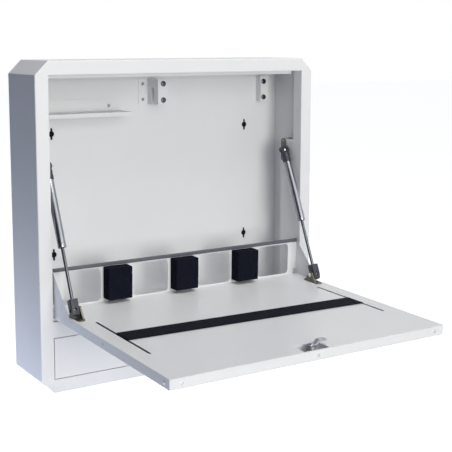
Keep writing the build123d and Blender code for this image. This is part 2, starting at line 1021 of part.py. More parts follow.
def web_edge_trim():
    """A rubber channel pushed over the web's top edge."""
    t = desk_sheet
    trim = desk_slab(
        -trim_half_width, trim_half_width, -t - trim_side, trim_side, trim_foot, trim_top
    )
    upper = trim.edges().filter_by(Axis.X).sort_by(Axis.Z)[-2:]
    trim = fillet(upper, trim_side)
    trim -= desk_slab(-trim_half_width - 1, trim_half_width + 1, -t, 0, trim_foot - 1, web_top)
    return trim


def foam_block(x):
    """A soft block on a post of the web, crowned in front: the shut-in laptop rests on it."""
    half = foam_width / 2
    back = -foam_gap
    front = -foam_depth
    sides = Polyline(
        (x - half, front + foam_crown, foam_foot),
        (x - half, back, foam_foot),
        (x + half, back, foam_foot),
        (x + half, front + foam_crown, foam_foot),
    )
    bow = ThreePointArc(
        (x + half, front + foam_crown, foam_foot),
        (x, front, foam_foot),
        (x - half, front + foam_crown, foam_foot),
    )
    block = extrude(make_face([sides, bow]), amount=foam_height, dir=(0, 0, 1))
    return fillet(block.edges(), foam_round)


def laptop_strap():
    """The strap over the desk: its ends go down the slots and loop round a bar beneath."""
    half = strap_slot_x + strap_thickness / 2
    z0 = desk_level + strap_lift
    z1 = z0 + strap_thickness
    wide = strap_width / 2
    band = (
        (-half, -(strap_left_middle - wide), z0),
        (-half, -(strap_left_middle + wide), z0),
        (half, -(strap_right_middle + wide), z0),
        (half, -(strap_right_middle - wide), z0),
    )
    strap = prism(band, (0, 0, 1), strap_thickness)
    inner = strap_bar_radius + 0.2
    for side, middle in ((-1, strap_left_middle), (1, strap_right_middle)):
        x = side * strap_slot_x
        y0 = -(middle + wide)
        y1 = -(middle - wide)
        strap += slab(
            x - strap_thickness / 2, x + strap_thickness / 2, y0, y1, strap_bar_depth + inner, z1
        )
        strap += round_y(x, y0, y1, strap_bar_depth, inner + strap_thickness * 0.9)
        strap -= round_y(x, y0 - 1, y1 + 1, strap_bar_depth, inner)
    return strap


def strap_bars():
    """The two bars in the strap's end loops, too long to come up through the slots."""
    bars = Part()
    reach = strap_width / 2 + strap_bar_overhang
    for side, middle in ((-1, strap_left_middle), (1, strap_right_middle)):
        bars += round_y(
            side * strap_slot_x, -(middle + reach), -(middle - reach), strap_bar_depth,
            strap_bar_radius,
        )
    return bars


def lock_cylinder():
    """The lock's barrel, with its rim against the outside of the desk."""
    rim = desk_underside - barrel_rim
    barrel = round_z(0, -lock_distance, rim, desk_underside, barrel_rim_radius)
    barrel = chamfer(barrel.edges().sort_by(Axis.Z)[0], barrel_rim / 2)
    barrel += round_z(0, -lock_distance, desk_underside, barrel_top, barrel_radius)
    barrel -= round_z(0, -lock_distance, rim - 1, barrel_top + 1, plug_radius + plug_gap)
    return barrel


def lock_nut():
    """The hexagon nut that clamps the barrel from inside the desk."""
    z0 = lock_nut_foot
    face = RegularPolygon(lock_nut_across / 2, 6, major_radius=False)
    nut = Pos(0, -lock_distance, z0) * extrude(face, lock_nut_thickness)
    nut -= round_z(0, -lock_distance, z0 - 1, z0 + lock_nut_thickness + 1, barrel_radius)
    return nut


def lock_plug():
    """The plug that the key turns, with its keyway on the outside."""
    rim = desk_underside - barrel_rim + 0.3
    plug = round_z(0, -lock_distance, rim, cam_foot, plug_radius)
    plug -= slab(
        -keyway_width / 2,
        keyway_width / 2,
        -lock_distance - keyway_length / 2,
        -lock_distance + keyway_length / 2,
        rim - 1,
        rim + keyway_depth,
    )
    return plug


def lock_cam():
    """The cranked cam on the plug's inner end, pointing along the desk while it is open."""
    t = cam_thickness
    low = cam_foot
    high = cam_hook_level
    y0 = -lock_distance - cam_width / 2
    bend = (
        (0, y0, low),
        (cam_crank_start, y0, low),
        (cam_crank_end, y0, high),
        (cam_reach, y0, high),
        (cam_reach, y0, high + t),
        (cam_crank_end - 1.2, y0, high + t),
        (cam_crank_start - 1.2, y0, low + t),
        (0, y0, low + t),
    )
    cam = prism(bend, (0, 1, 0), cam_width)
    ends = [edge for edge in cam.edges().filter_by(Axis.Z) if edge.center().X > cam_reach - 1]
    cam = fillet(ends, cam_width / 2 - 0.5)
    cam += round_z(0, -lock_distance, low, low + t, cam_hub_radius)
    cam -= round_z(0, -lock_distance, low - 1, low + t + 1, small_shank)
    eye = cam_reach - cam_eye_inset
    cam -= round_z(eye, -lock_distance, high - 1, high + t + 1, cam_eye_radius)
    return cam


def cam_screw():
    """The screw that holds the cam on the plug."""
    head = cam_foot + cam_thickness
    screw = round_z(0, -lock_distance, cam_foot, head, small_shank)
    top = round_z(0, -lock_distance, head, head + cam_screw_head, cam_screw_radius)
    top = fillet(top.edges().sort_by(Axis.Z)[-1], 0.8)
    slot = slab(
        -cam_screw_radius, cam_screw_radius, -lock_distance - 0.6, -lock_distance + 0.6,
        head + cam_screw_head - 0.9, head + cam_screw_head + 1,
    )
    return screw + top - slot


def pivot_pins():
    """The two pins the desk turns on, pressed into their blocks."""
    pins = Part()
    for side in (-1, 1):
        pins += round_x(side * pin_inner_end, side * pin_outer_end, 0, 0, pin_radius)
    return pins


def pivot_blocks():
    """The blocks in the desk's rear corners that hold the pins."""
    blocks = Part()
    outer = desk_half_width - desk_sheet
    foot = desk_underside + desk_sheet
    for side in (-1, 1):
        block = desk_slab(
            side * pivot_block_x,
            side * outer,
            -pivot_block_rear,
            pivot_block_front,
            foot,
            desk_level - desk_sheet,
        )
        block -= round_x(side * pin_inner_end, side * (outer + 1), 0, 0, pin_radius)
        blocks += block
    return blocks


def desk_rivet_places():
    """How far in front of the hinge line a desk bracket's rivets are."""
    reach = bracket_length / 2 - bracket_hole_inset
    return (desk_bracket_distance - reach, desk_bracket_distance + reach)


def strut_desk_bracket(side):
    """An oval plate on the desk with an ear that stands up on the inner side of the strut."""
    thickness = bracket_sheet - 0.2
    top = desk_level + thickness
    x = side * desk_bracket_x
    plate = oval_plate(bracket_length, bracket_width, thickness)
    plate = Pos(x, -desk_bracket_distance, desk_level) * plate
    x0 = side * desk_ear_x
    ball_u = lower_ball_distance
    corners = (
        (x0, -(ball_u - desk_ear_spread), top),
        (x0, -(ball_u - desk_ear_round), lower_ball_height),
        (x0, -(ball_u + desk_ear_round), lower_ball_height),
        (x0, -(ball_u + desk_ear_spread), top),
    )
    ear = prism(corners, (side, 0, 0), desk_ear_sheet)
    ear += round_x(x0, x0 + side * desk_ear_sheet, -ball_u, lower_ball_height, desk_ear_round)
    ear -= round_x(
        x0 - side, x0 + side * (desk_ear_sheet + 1), -ball_u, lower_ball_height, stud_radius
    )
    for u in desk_rivet_places():
        plate -= round_z(x, -u, desk_level - 1, top + 1, small_shank)
    return plate + ear


def desk_ball_studs():
    """The ball studs riveted through the desk brackets' ears."""
    y = -lower_ball_distance
    z = lower_ball_height
    stud = Pos(strut_x, y, z) * Sphere(ball_radius)
    stud += round_x(desk_ear_x, strut_x - ball_radius / 2, y, z, stud_radius)
    stud += round_x(desk_ear_x - 1.5, desk_ear_x, y, z, stud_radius + 1.4)
    return stud + mirror(stud, Plane.YZ)


def desk_bracket_rivets():
    """Flush rivets that hold the desk brackets to the desk's top."""
    rivets = Part()
    top = desk_level + bracket_sheet - 0.2
    for side in (-1, 1):
        for u in desk_rivet_places():
            x = side * desk_bracket_x
            rivets += round_z(x, -u, desk_level - desk_sheet, top, small_shank)
            rivets += round_z(
                x, -u, desk_level - desk_sheet - 1.5, desk_level - desk_sheet, small_head
            )
    return rivets


def strut_rod():
    """The strut's polished rod, from its lower end fitting up to the piston."""
    return round_z(0, 0, lower_socket_thread, piston_foot(), rod_radius)


def piston_foot():
    """Where the piston starts on the rod with the strut fully out."""
    return tube_start + rod_guide_length + piston_clearance


def strut_piston():
    """The piston on the rod's upper end, inside the tube."""
    radius = tube_radius - tube_wall - piston_gap
    z0 = piston_foot()
    piston = round_z(0, 0, z0, z0 + piston_length, radius)
    return fillet(piston.edges().filter_by(GeomType.CIRCLE), 0.8)


def strut_lower_socket():
    """The moulded end fitting that screws on the rod and snaps on the desk's ball stud.

    A window in front shows the ball.
    """
    half = lower_socket_half
    deep = lower_socket_depth
    end = lower_socket_end
    corners = (
        (-half, -end, lower_socket_foot),
        (-half, -deep, lower_socket_taper),
        (-half, -deep, lower_socket_top),
        (-half, deep, lower_socket_top),
        (-half, deep, lower_socket_taper),
        (-half, end, lower_socket_foot),
    )
    body = prism(corners, (1, 0, 0), 2 * half)
    foot = body.edges().filter_by(Axis.X).sort_by(Axis.Z)[:2]
    body = fillet(foot, end * 0.6)
    rim = [edge for edge in body.edges() if edge.center().Z > lower_socket_top - 0.01]
    body = fillet(rim, 1.2)
    body -= Sphere(ball_radius + ball_gap)
    body -= round_x(-half - 1, half + 1, 0, 0, stud_radius + 0.6)
    body -= round_z(0, 0, lower_socket_thread, lower_socket_top + 1, rod_radius)
    reach = lower_window_length / 2 - lower_window_radius
    window = slab(-lower_window_radius, lower_window_radius, -deep - 1, 0, -reach, reach)
    for height in (-reach, reach):
        window += round_y(0, -deep - 1, 0, height, lower_window_radius)
    body -= window
    return body


def strut_tube():
    """The strut's tube, shut at its upper end and rolled in over the rod guide at the lower."""
    end = strut_length() - tube_end_gap
    tube = round_z(0, 0, tube_start, end, tube_radius)
    tube = fillet(tube.edges().sort_by(Axis.Z)[-1], tube_shoulder)
    tube = fillet(tube.edges().sort_by(Axis.Z)[0], tube_wall * 0.8)
    groove = Pos(0, 0, tube_start + tube_groove) * Torus(tube_radius, tube_groove_radius)
    bore = tube_radius - tube_wall
    return tube - groove - round_z(0, 0, tube_start - 1, end - tube_base, bore)


def strut_rod_guide():
    """The guide and seal that close the tube's lower end round the rod."""
    bore = tube_radius - tube_wall
    z1 = tube_start + rod_guide_length
    guide = round_z(0, 0, tube_start + 0.4, z1, bore)
    return guide - round_z(0, 0, tube_start - 1, z1 + 1, rod_radius + rod_gap)


def strut_length():
    """The distance between a strut's two ball centres with the desk open."""
    reach_y, reach_z = strut_reach()
    return sqrt(reach_y**2 + reach_z**2)


def lower_ball():
    """Where the lower ball is, in the cabinet's Y and Z, with the desk open."""
    droop = radians(desk_droop_angle)
    y = pivot_y - lower_ball_distance * cos(droop) - lower_ball_height * sin(droop)
    z = pivot_height - lower_ball_distance * sin(droop) + lower_ball_height * cos(droop)
    return y, z


def strut_reach():
    """The way from the lower ball to the upper one in Y and Z."""
    y, z = lower_ball()
    return upper_ball_y - y, upper_ball_height - z


def strut_upper_socket():
    """The moulded cap on the tube with a round head, open in front, and the ball held in it."""
    ball = strut_length()
    cap_foot = ball - tube_end_gap
    skirt_foot = cap_foot - tube_shoulder - upper_skirt
    socket = round_z(0, 0, skirt_foot, ball - upper_collar_drop, upper_collar_radius)
    socket -= round_z(0, 0, skirt_foot - 1, cap_foot, tube_radius)
    socket += round_y(0, -upper_head_half, upper_head_half, ball, upper_head_radius)
    socket -= Pos(0, 0, ball) * Sphere(ball_radius + ball_gap)
    socket -= round_y(0, -upper_head_half - 1, upper_head_half + 1, ball, upper_window_radius)
    return socket + Pos(0, 0, ball) * Sphere(ball_radius)


def on_desk(shape):
    """A desk piece in its open place."""
    return Pos(0, pivot_y, pivot_height) * Rot(desk_droop_angle, 0, 0) * shape


def on_strut(shape, side):
    """A strut piece in its place with the desk open."""
    y, z = lower_ball()
    reach_y, reach_z = strut_reach()
    lean = degrees(atan2(reach_y, reach_z))
    return Pos(side * strut_x, y, z) * Rot(-lean, 0, 0) * shape


def cabinet_pieces():
    """Everything that stays on the wall."""
    pieces = {
        "cabinet_shell": cabinet_shell(),
        "back_panel": back_panel(),
        "top_stop_strip": top_stop_strip(),
        "compartment_floor": compartment_floor(),
        "slide_supports": slide_support(-1) + slide_support(1),
        "accessory_shelf": accessory_shelf(),
        "shelf_screws": shelf_screws(),
        "left_hanger_bracket": left_hanger_bracket(),
        "left_bracket_rivets": left_bracket_rivets(),
        "left_bracket_screws": flange_screws(
            left_screw_x, left_screw_heights, left_hanger_front, 6.0
        ),
        "right_hanger_bracket": right_hanger_bracket(),
        "right_bracket_screws": flange_screws(
            right_screw_x, right_screw_heights, right_hanger_front, 6.0
        ),
        "wall_ball_studs": wall_ball_studs(),
        "wall_bracket_screws": wall_bracket_screws(),
        "pivot_bushes": pivot_bushes(),
    }
    for side, name in SIDES:
        pieces["strut_plate_" + name] = strut_plate(side)
        pieces["drawer_guide_" + name] = drawer_guide(side)
        pieces["strut_wall_bracket_" + name] = strut_wall_bracket(side)
    return pieces


def drawer_pieces():
    """Everything that slides with the drawer."""
    return {
        "drawer_front": drawer_front(),
        "drawer_tray": drawer_tray(),
        "drawer_screws": drawer_screws(),
        "drawer_runners": drawer_runner(-1) + drawer_runner(1),
    }


def desk_pieces():
    """Everything that turns with the desk, with its strap and lock."""
    pieces = {
        "desk_outer_pan": desk_outer_pan(),
        "desk_inner_skin": desk_inner_skin(),
        "desk_stiffener": desk_stiffener(),
        "desk_edge_screws": desk_edge_screws(),
        "rear_web": rear_web(),
        "web_edge_trim": web_edge_trim(),
        "laptop_strap": laptop_strap(),
        "strap_bars": strap_bars(),
        "lock_cylinder": lock_cylinder(),
        "lock_nut": lock_nut(),
        "lock_plug": lock_plug(),
        "lock_cam": lock_cam(),
        "cam_screw": cam_screw(),
        "pivot_pins": pivot_pins(),
        "pivot_blocks": pivot_blocks(),
        "desk_ball_studs": desk_ball_studs(),
        "desk_bracket_rivets": desk_bracket_rivets(),
    }
    for x, name in zip(foam_middles, ("left", "centre", "right")):
        pieces["foam_block_" + name] = foam_block(x)
    for side, name in SIDES:
        pieces["strut_desk_bracket_" + name] = strut_desk_bracket(side)
    return {name: on_desk(piece) for name, piece in pieces.items()}


def strut_pieces():
    """The two gas struts."""
    makers = {
        "strut_rod_": strut_rod,
        "strut_piston_": strut_piston,
        "strut_lower_socket_": strut_lower_socket,
        "strut_tube_": strut_tube,
        "strut_rod_guide_": strut_rod_guide,
        "strut_upper_socket_": strut_upper_socket,
    }
    pieces = {}
    for side, name in SIDES:
        for start, maker in makers.items():
            pieces[start + name] = on_strut(maker(), side)
    return pieces


def main():
    os.makedirs("parts", exist_ok=True)
    origin = Pos(0, -case_depth, -keyhole_middle_height)
    for group in (cabinet_pieces(), drawer_pieces(), desk_pieces(), strut_pieces()):
        for name, piece in group.items():
            export_step(origin * piece, "parts/" + name + ".step")


main()
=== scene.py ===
from math import cos, pi, radians, sin

import bpy
from mathutils import Matrix, Vector


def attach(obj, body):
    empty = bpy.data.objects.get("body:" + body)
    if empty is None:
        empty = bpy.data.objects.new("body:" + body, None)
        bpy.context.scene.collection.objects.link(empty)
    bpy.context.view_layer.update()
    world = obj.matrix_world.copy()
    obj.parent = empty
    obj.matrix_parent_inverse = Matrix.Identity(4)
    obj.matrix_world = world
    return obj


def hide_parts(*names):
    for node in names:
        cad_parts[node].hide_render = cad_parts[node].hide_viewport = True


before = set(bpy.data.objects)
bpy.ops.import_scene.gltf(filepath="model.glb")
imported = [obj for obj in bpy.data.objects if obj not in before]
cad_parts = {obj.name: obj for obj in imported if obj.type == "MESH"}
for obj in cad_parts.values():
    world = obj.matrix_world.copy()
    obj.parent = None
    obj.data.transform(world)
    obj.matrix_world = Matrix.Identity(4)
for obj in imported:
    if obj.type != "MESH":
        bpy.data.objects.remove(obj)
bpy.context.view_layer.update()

# The camera stands in front of the cabinet's left side, a little over its top, as the
# photographer did. The lens is long, and the frame is moved off the lens's middle.
photo_width = 452
lens_sensor = 36.0
lens_pixels = 1009.4
middle_x, middle_y = 209.3, 185.8
camera_place = (-0.9688, -1.7687, 0.2869)
camera_yaw, camera_pitch = radians(31.917), radians(-8.078)

camera_data = bpy.data.cameras.new("camera")
camera_data.sensor_width = lens_sensor
camera_data.lens = lens_sensor * lens_pixels / photo_width
camera_data.shift_x = (photo_width / 2 - middle_x) / photo_width
camera_data.shift_y = (middle_y - photo_width / 2) / photo_width
camera_data.clip_end = 60
camera = bpy.data.objects.new("camera", camera_data)
bpy.context.collection.objects.link(camera)
camera.location = camera_place
camera.rotation_euler = (pi / 2 + camera_pitch, 0, -camera_yaw)
bpy.context.scene.camera = camera
bpy.context.scene.view_settings.view_transform = "Standard"

# The room: a white studio with soft lamps to the right in front, overhead, straight in front
# and near the camera, a small one low at the left, a narrow one that reaches the drawer under
# the desk, and a pale floor well below, because the cabinet hangs on a wall.
floor_level = -1.3
floor_side = 60.0
warm, cool, pale_blue = (1.0, 0.975, 0.915), (0.70, 0.78, 1.0), (0.90, 0.93, 1.0)
wide, narrow = pi, radians(12)
lamps = (
    ("key_lamp", (0.9, -2.5, 2.0), (0, -0.1, 0), 2.2, 14.0, warm, wide),
    ("top_lamp", (0.25, -1.0, 2.6), (0, -0.35, -0.2), 1.4, 39.0, warm, wide),
    ("front_lamp", (-0.1, -3.6, 0.1), (0, 0, 0), 1.1, 43.0, warm, wide),
    ("fill_lamp", (-0.7, -3.2, 0.9), (0, 0, 0), 1.8, 31.0, warm, wide),
    ("low_lamp", (-0.66, 0.03, -0.66), (-0.3, -0.06, -0.33), 0.25, 2.2, cool, wide),
    ("drawer_lamp", (-0.4, -2.0, -0.72), (-0.18, -0.12, -0.31), 0.2, 0.055, pale_blue, narrow),
)
room_light, room_colour = 0.105, (0.36, 0.54, 1.0, 1)

for name, place, aim, size, power, colour, spread in lamps:
    data = bpy.data.lights.new(name, "AREA")
    data.shape = "SQUARE"
    data.size = size
    data.energy = power
    data.color = colour
    data.spread = spread
    light = bpy.data.objects.new(name, data)
    bpy.context.collection.objects.link(light)
    light.location = place
    light.rotation_euler = (Vector(aim) - Vector(place)).to_track_quat("-Z", "Y").to_euler()
    light.visible_camera = False


class Wire:
    """An output in a material; sums on it add Math nodes."""

    def __init__(self, finish, socket):
        self.finish = finish
        self.socket = socket

    def _math(self, operation, first, second):
        return self.finish.node("ShaderNodeMath", {"operation": operation}, {0: first, 1: second})

    def __add__(self, other):
        return self._math("ADD", self, other)

    def __radd__(self, other):
        return self._math("ADD", other, self)

    def __mul__(self, other):
        return self._math("MULTIPLY", self, other)

    def __rmul__(self, other):
        return self._math("MULTIPLY", other, self)


class Finish:
    """A node tree being built for a material, or for the room."""

    def __init__(self, name, tree=None):
        self.material = None
        if tree is None:
            self.material = bpy.data.materials.new(name)
            self.material.use_nodes = True
            tree = self.material.node_tree
        tree.nodes.clear()
        self.tree = tree

    def node(self, kind, settings=None, inputs=None, output=0):
        made = self.tree.nodes.new(kind)
        for key, value in (settings or {}).items():
            setattr(made, key, value)
        for key, value in (inputs or {}).items():
            if isinstance(value, Wire):
                self.tree.links.new(value.socket, made.inputs[key])
            else:
                made.inputs[key].default_value = value
        return Wire(self, made.outputs[output]) if made.outputs else None

    def place(self):
        """Where a point is on the object, in metres."""
        return self.node("ShaderNodeTexCoord", output="Object")

    def noise(self, scale, detail=2.0, vector=None):
        inputs = {"Vector": vector or self.place(), "Scale": scale, "Detail": detail}
        return self.node("ShaderNodeTexNoise", {}, inputs)

    def mix(self, factor, first, second):
        inputs = {"Factor": factor, 6: first, 7: second}
        return self.node("ShaderNodeMix", {"data_type": "RGBA"}, inputs, output=2)

    def bump(self, height, depth, strength=1.0, normal=None):
        inputs = {"Height": height, "Distance": depth, "Strength": strength}
        if normal:
            inputs["Normal"] = normal
        return self.node("ShaderNodeBump", {}, inputs)

    def rounded(self, radius):
        """Corners that catch the light as if they were rounded."""
        return self.node("ShaderNodeBevel", {"samples": 6}, {"Radius": radius})

    def surface(self, **inputs):
        named = {key.replace("_", " "): value for key, value in inputs.items()}
        shader = self.node("ShaderNodeBsdfPrincipled", {}, named)
        self.node("ShaderNodeOutputMaterial", {}, {"Surface": shader})
        return self.material


def paint_colour(red, green, blue):
    """A colour as it is read off a screen, as the shader wants it."""
    values = []
    for part in (red, green, blue):
        part = part / 255
        values.append(part / 12.92 if part <= 0.04045 else ((part + 0.055) / 1.055) ** 2.4)
    return (*values, 1)


world = bpy.data.worlds.new("studio")
bpy.context.scene.world = world
world.use_nodes = True
room = Finish("studio", world.node_tree)
seen = room.node("ShaderNodeLightPath", output="Is Camera Ray")
mirrored = room.node("ShaderNodeLightPath", output="Is Glossy Ray")
through = room.node("ShaderNodeLightPath", output="Is Transmission Ray")
direct = seen + mirrored + through
white_room = room.node("ShaderNodeBackground", {}, {"Color": (1, 1, 1, 1), "Strength": 1.0})
dim_room = room.node(
    "ShaderNodeBackground", {}, {"Color": room_colour, "Strength": room_light}
)
room_light_mix = room.node("ShaderNodeMixShader", {}, {0: direct, 1: dim_room, 2: white_room})
room.node("ShaderNodeOutputWorld", {}, {"Surface": room_light_mix})

bpy.ops.object.select_all(action="DESELECT")
bpy.ops.mesh.primitive_plane_add(size=floor_side, location=(0, 0, floor_level))
floor = bpy.context.active_object
floor.name = "studio_floor"
pale = Finish("pale_floor")
matt = pale.node(
    "ShaderNodeBsdfDiffuse", {}, {"Color": (0.88, 0.88, 0.89, 1), "Roughness": 1.0}
)
floor_glow = 0.93
glow_seen = pale.node("ShaderNodeLightPath", output="Is Camera Ray")
glow_mirrored = pale.node("ShaderNodeLightPath", output="Is Glossy Ray")
glow = pale.node(
    "ShaderNodeEmission",
    {},
    {"Color": (1, 1, 1, 1), "Strength": (glow_seen + glow_mirrored) * floor_glow},
)
both = pale.node("ShaderNodeAddShader", {}, {0: matt, 1: glow})
pale.node("ShaderNodeOutputMaterial", {}, {"Surface": both})
floor.data.materials.append(pale.material)


# A dark flag stands at the left, as in a studio. Only mirrored rays meet it: it draws the
# dark side on the bright metal and on the paint of the left faces.
flag_place, flag_size = (-1.6, 2.1, 0.65), (10.2, 3.0)
bpy.ops.object.select_all(action="DESELECT")
bpy.ops.mesh.primitive_plane_add(
    size=1, location=flag_place, rotation=(pi / 2, 0, pi / 2), scale=(1, 1, 1)
)
flag = bpy.context.active_object
flag.name = "studio_flag"
flag.scale = (*flag_size, 1)
bpy.ops.object.transform_apply(location=True, rotation=True, scale=True)
felt = Finish("black_felt")
matt_black = felt.node("ShaderNodeBsdfDiffuse", {}, {"Color": (0.11, 0.11, 0.15, 1)})
felt.node("ShaderNodeOutputMaterial", {}, {"Surface": matt_black})
flag.data.materials.append(felt.material)
flag.visible_camera = flag.visible_diffuse = flag.visible_shadow = False


# The case, the desk's sheets, the shelf, the brackets and the drawer are folded from thin
# steel sheet and powder-coated light grey: a fine orange-peel skin, half glossy.
painted = (
    "cabinet_shell", "back_panel", "top_stop_strip", "strut_plate_left", "strut_plate_right",
    "compartment_floor", "accessory_shelf", "left_hanger_bracket", "right_hanger_bracket",
    "desk_outer_pan", "desk_inner_skin", "desk_stiffener", "rear_web", "drawer_front",
    "drawer_tray",
)
coat_colour = paint_colour(228, 229, 231)
coat_shade = paint_colour(221, 223, 226)


def wear(node, material):
    """Gives a node of the frame its finish."""
    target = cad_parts[node]
    target.data.materials.clear()
    target.data.materials.append(material)
    for face in target.data.polygons:
        face.material_index = 0


coat = Finish("powder_coat")
cloudy = coat.noise(9.0, 3.0)
peel = coat.noise(850.0, 2.0)
grain = coat.noise(2600.0, 1.0)
tint = coat.mix(cloudy, coat_colour, coat_shade)
skin = coat.bump(peel + grain * 0.35, 0.00012, 0.22, coat.rounded(0.0007))
powder_coat = coat.surface(
    Base_Color=tint, Roughness=0.32 + cloudy * 0.08, Normal=skin, IOR=1.42
)
for name in painted:
    wear(name, powder_coat)


# The wall behind, where the keyholes show it, is painted shade: a dark board that only the
# camera sees, from the front alone, and a little smaller than the back.
board_size, board_gap, board_middle = 0.54, 0.0025, -0.044
bpy.ops.object.select_all(action="DESELECT")
bpy.ops.mesh.primitive_plane_add(
    size=board_size, location=(0, board_gap, board_middle), rotation=(pi / 2, 0, 0)
)
board = bpy.context.active_object
board.name = "shadow_behind"
shadow = Finish("shadow_behind")
painted_wall_shade = shadow.node("ShaderNodeBsdfDiffuse", {}, {"Color": (0.012, 0.012, 0.02, 1)})
clear = shadow.node("ShaderNodeBsdfTransparent")
behind = shadow.node("ShaderNodeNewGeometry", output="Backfacing")
one_way = shadow.node("ShaderNodeMixShader", {}, {0: behind, 1: painted_wall_shade, 2: clear})
shadow.node("ShaderNodeOutputMaterial", {}, {"Surface": one_way})
board.data.materials.append(shadow.material)
board.visible_diffuse = board.visible_glossy = board.visible_shadow = False


# The drawer's slides and their supports, the strap's bars and the pivot blocks are bright
# zinc-plated steel: grey, a little cloudy where the plating is crystalline.
zinc = Finish("zinc_plate")
spangle = zinc.noise(420.0, 4.0)
cast = zinc.noise(60.0, 2.0)
zinc_plate = zinc.surface(
    Base_Color=zinc.mix(cast, paint_colour(128, 128, 126), paint_colour(150, 151, 153)),
    Metallic=1.0,
    Roughness=0.28 + spangle * 0.22,
    Normal=zinc.bump(spangle, 0.00005, 0.3, zinc.rounded(0.0004)),
)
for name in (
    "drawer_guide_left", "drawer_guide_right", "drawer_runners", "slide_supports",
    "strap_bars", "pivot_blocks", "pivot_pins",
):
    wear(name, zinc_plate)


# Pan-head screws, zinc-plated: a domed head with a cross recess, and a plain shank in the
# sheet. They hold the shelf, the strut brackets, the drawer's face and the desk's edges.
mm = 0.001
head_radius, head_height, flush_height = 3.2 * mm, 1.2 * mm, 0.5 * mm
shank_radius = 1.9 * mm
recess_width, recess_length, recess_depth = 0.75 * mm, 3.4 * mm, 0.8 * mm


def nothing_chosen():
    if bpy.context.mode != "OBJECT":
        bpy.ops.object.mode_set(mode="OBJECT")
    bpy.ops.object.select_all(action="DESELECT")


def turned(name, rings, sides=40):
    """A round piece along Z: a disc drawn out from ring to ring of radius and height."""
    nothing_chosen()
    radius, height = rings[0]
    bpy.ops.mesh.primitive_circle_add(
        vertices=sides, radius=radius, fill_type="NGON", location=(0, 0, height)
    )
    piece = bpy.context.active_object
    piece.name = name
    bpy.ops.object.transform_apply(location=True, rotation=True, scale=True)
    bpy.ops.object.mode_set(mode="EDIT")
    bpy.ops.mesh.select_all(action="SELECT")
    for next_radius, next_height in rings[1:]:
        rise = (0, 0, next_height - height)
        bpy.ops.mesh.extrude_region_move(TRANSFORM_OT_translate={"value": rise})
        shrink = next_radius / radius
        bpy.ops.transform.resize(value=(shrink, shrink, 1), center_override=(0, 0, next_height))
        radius, height = next_radius, next_height
    bpy.ops.mesh.select_all(action="SELECT")
    bpy.ops.mesh.normals_make_consistent(inside=False)
    bpy.ops.object.mode_set(mode="OBJECT")
    return piece


def block(name, low, high):
    """A block between two corners, as a start for a piece or a cut."""
    nothing_chosen()
    low, high = Vector(low), Vector(high)
    bpy.ops.mesh.primitive_cube_add(size=1, location=(low + high) / 2)
    piece = bpy.context.active_object
    piece.name = name
    piece.scale = high - low
    bpy.ops.object.transform_apply(location=True, rotation=True, scale=True)
    return piece


def apply_modifier(piece, kind, **settings):
    bpy.context.view_layer.objects.active = piece
    added = piece.modifiers.new(kind.lower(), kind)
    for key, value in settings.items():
        setattr(added, key, value)
    bpy.ops.object.modifier_apply(modifier=added.name)


def cut(piece, *cutters):
    """Takes the cutters' shapes out of a piece, and clears the cutters away."""
    for cutter in cutters:
        apply_modifier(piece, "BOOLEAN", object=cutter, operation="DIFFERENCE", solver="EXACT")
        bpy.data.objects.remove(cutter)


def moved(piece, place):
    piece.data.transform(place)
    piece.data.update()
    return piece


def copies(name, model, places):
    """One object that holds a copy of the model at each place."""
    made = []
    for place in places:
        another = model.copy()
        another.data = model.data.copy()
        bpy.context.collection.objects.link(another)
        made.append(moved(another, place))
    nothing_chosen()
    for another in made:
        another.select_set(True)
    bpy.context.view_layer.objects.active = made[0]
    if len(made) > 1:
        bpy.ops.object.join()
    made[0].name = name
    return made[0]


def dressed(piece, material, body, *nodes, slot, angle=35):
    """A finished piece gets its finish, and rides on its body in place of the node."""
    nothing_chosen()
    piece.select_set(True)
    bpy.context.view_layer.objects.active = piece
    piece.data.materials.clear()
    piece.data.materials.append(material)
    bpy.ops.object.shade_smooth_by_angle(angle=radians(angle))
    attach(piece, body)
    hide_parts(*nodes)
    return piece


def pan_screw(
    name, height, shank, radius=head_radius, core=shank_radius, recess=(recess_length, recess_width)
):
    """A screw along Z: its head's underside is on Z = 0, and the shank goes down."""
    dome = [
        (radius, 0.0),
        (radius, height * 0.45),
        (radius * 0.94, height * 0.75),
        (radius * 0.8, height * 0.93),
        (radius * 0.6, height),
    ]
    thread = [(core * 0.8, -shank), (core, -shank + core * 0.3)]
    screw = turned(name, thread + [(core, 0.0)] + dome)
    deep = min(recess_depth, height * 0.8)
    half_length, half_width = recess[0] / 2, recess[1] / 2
    for turn in (0, pi / 2):
        slot_cut = block(
            "recess", (-half_length, -half_width, height - deep), (half_length, half_width, 0.01)
        )
        cut(screw, moved(slot_cut, Matrix.Rotation(turn + 0.35, 4, "Z")))
    return screw


def facing(direction, place, turn=0.0):
    """The move that stands a piece made along Z at a place, facing a direction."""
    stand = Vector(direction).to_track_quat("Z", "Y").to_matrix().to_4x4()
    return Matrix.Translation(place) @ stand @ Matrix.Rotation(turn, 4, "Z")


in_row = Vector((0, -0.125, -0.344))
to_front, to_back = (0, -1, 0), (0, 1, 0)


def in_cabinet(x, y, z):
    """A point given in millimetres from the middle of the case's front foot."""
    return Vector((x, y, z)) * mm + in_row


plated = Finish("plated_screw")
plated_cloud = plated.noise(500.0, 2.0)
plated_screw = plated.surface(
    Base_Color=plated.mix(plated_cloud, paint_colour(120, 121, 124), paint_colour(152, 153, 156)),
    Metallic=1.0,
    Roughness=0.3 + plated_cloud * 0.15,
    Normal=plated.bump(plated_cloud, 0.00003, 0.3),
)

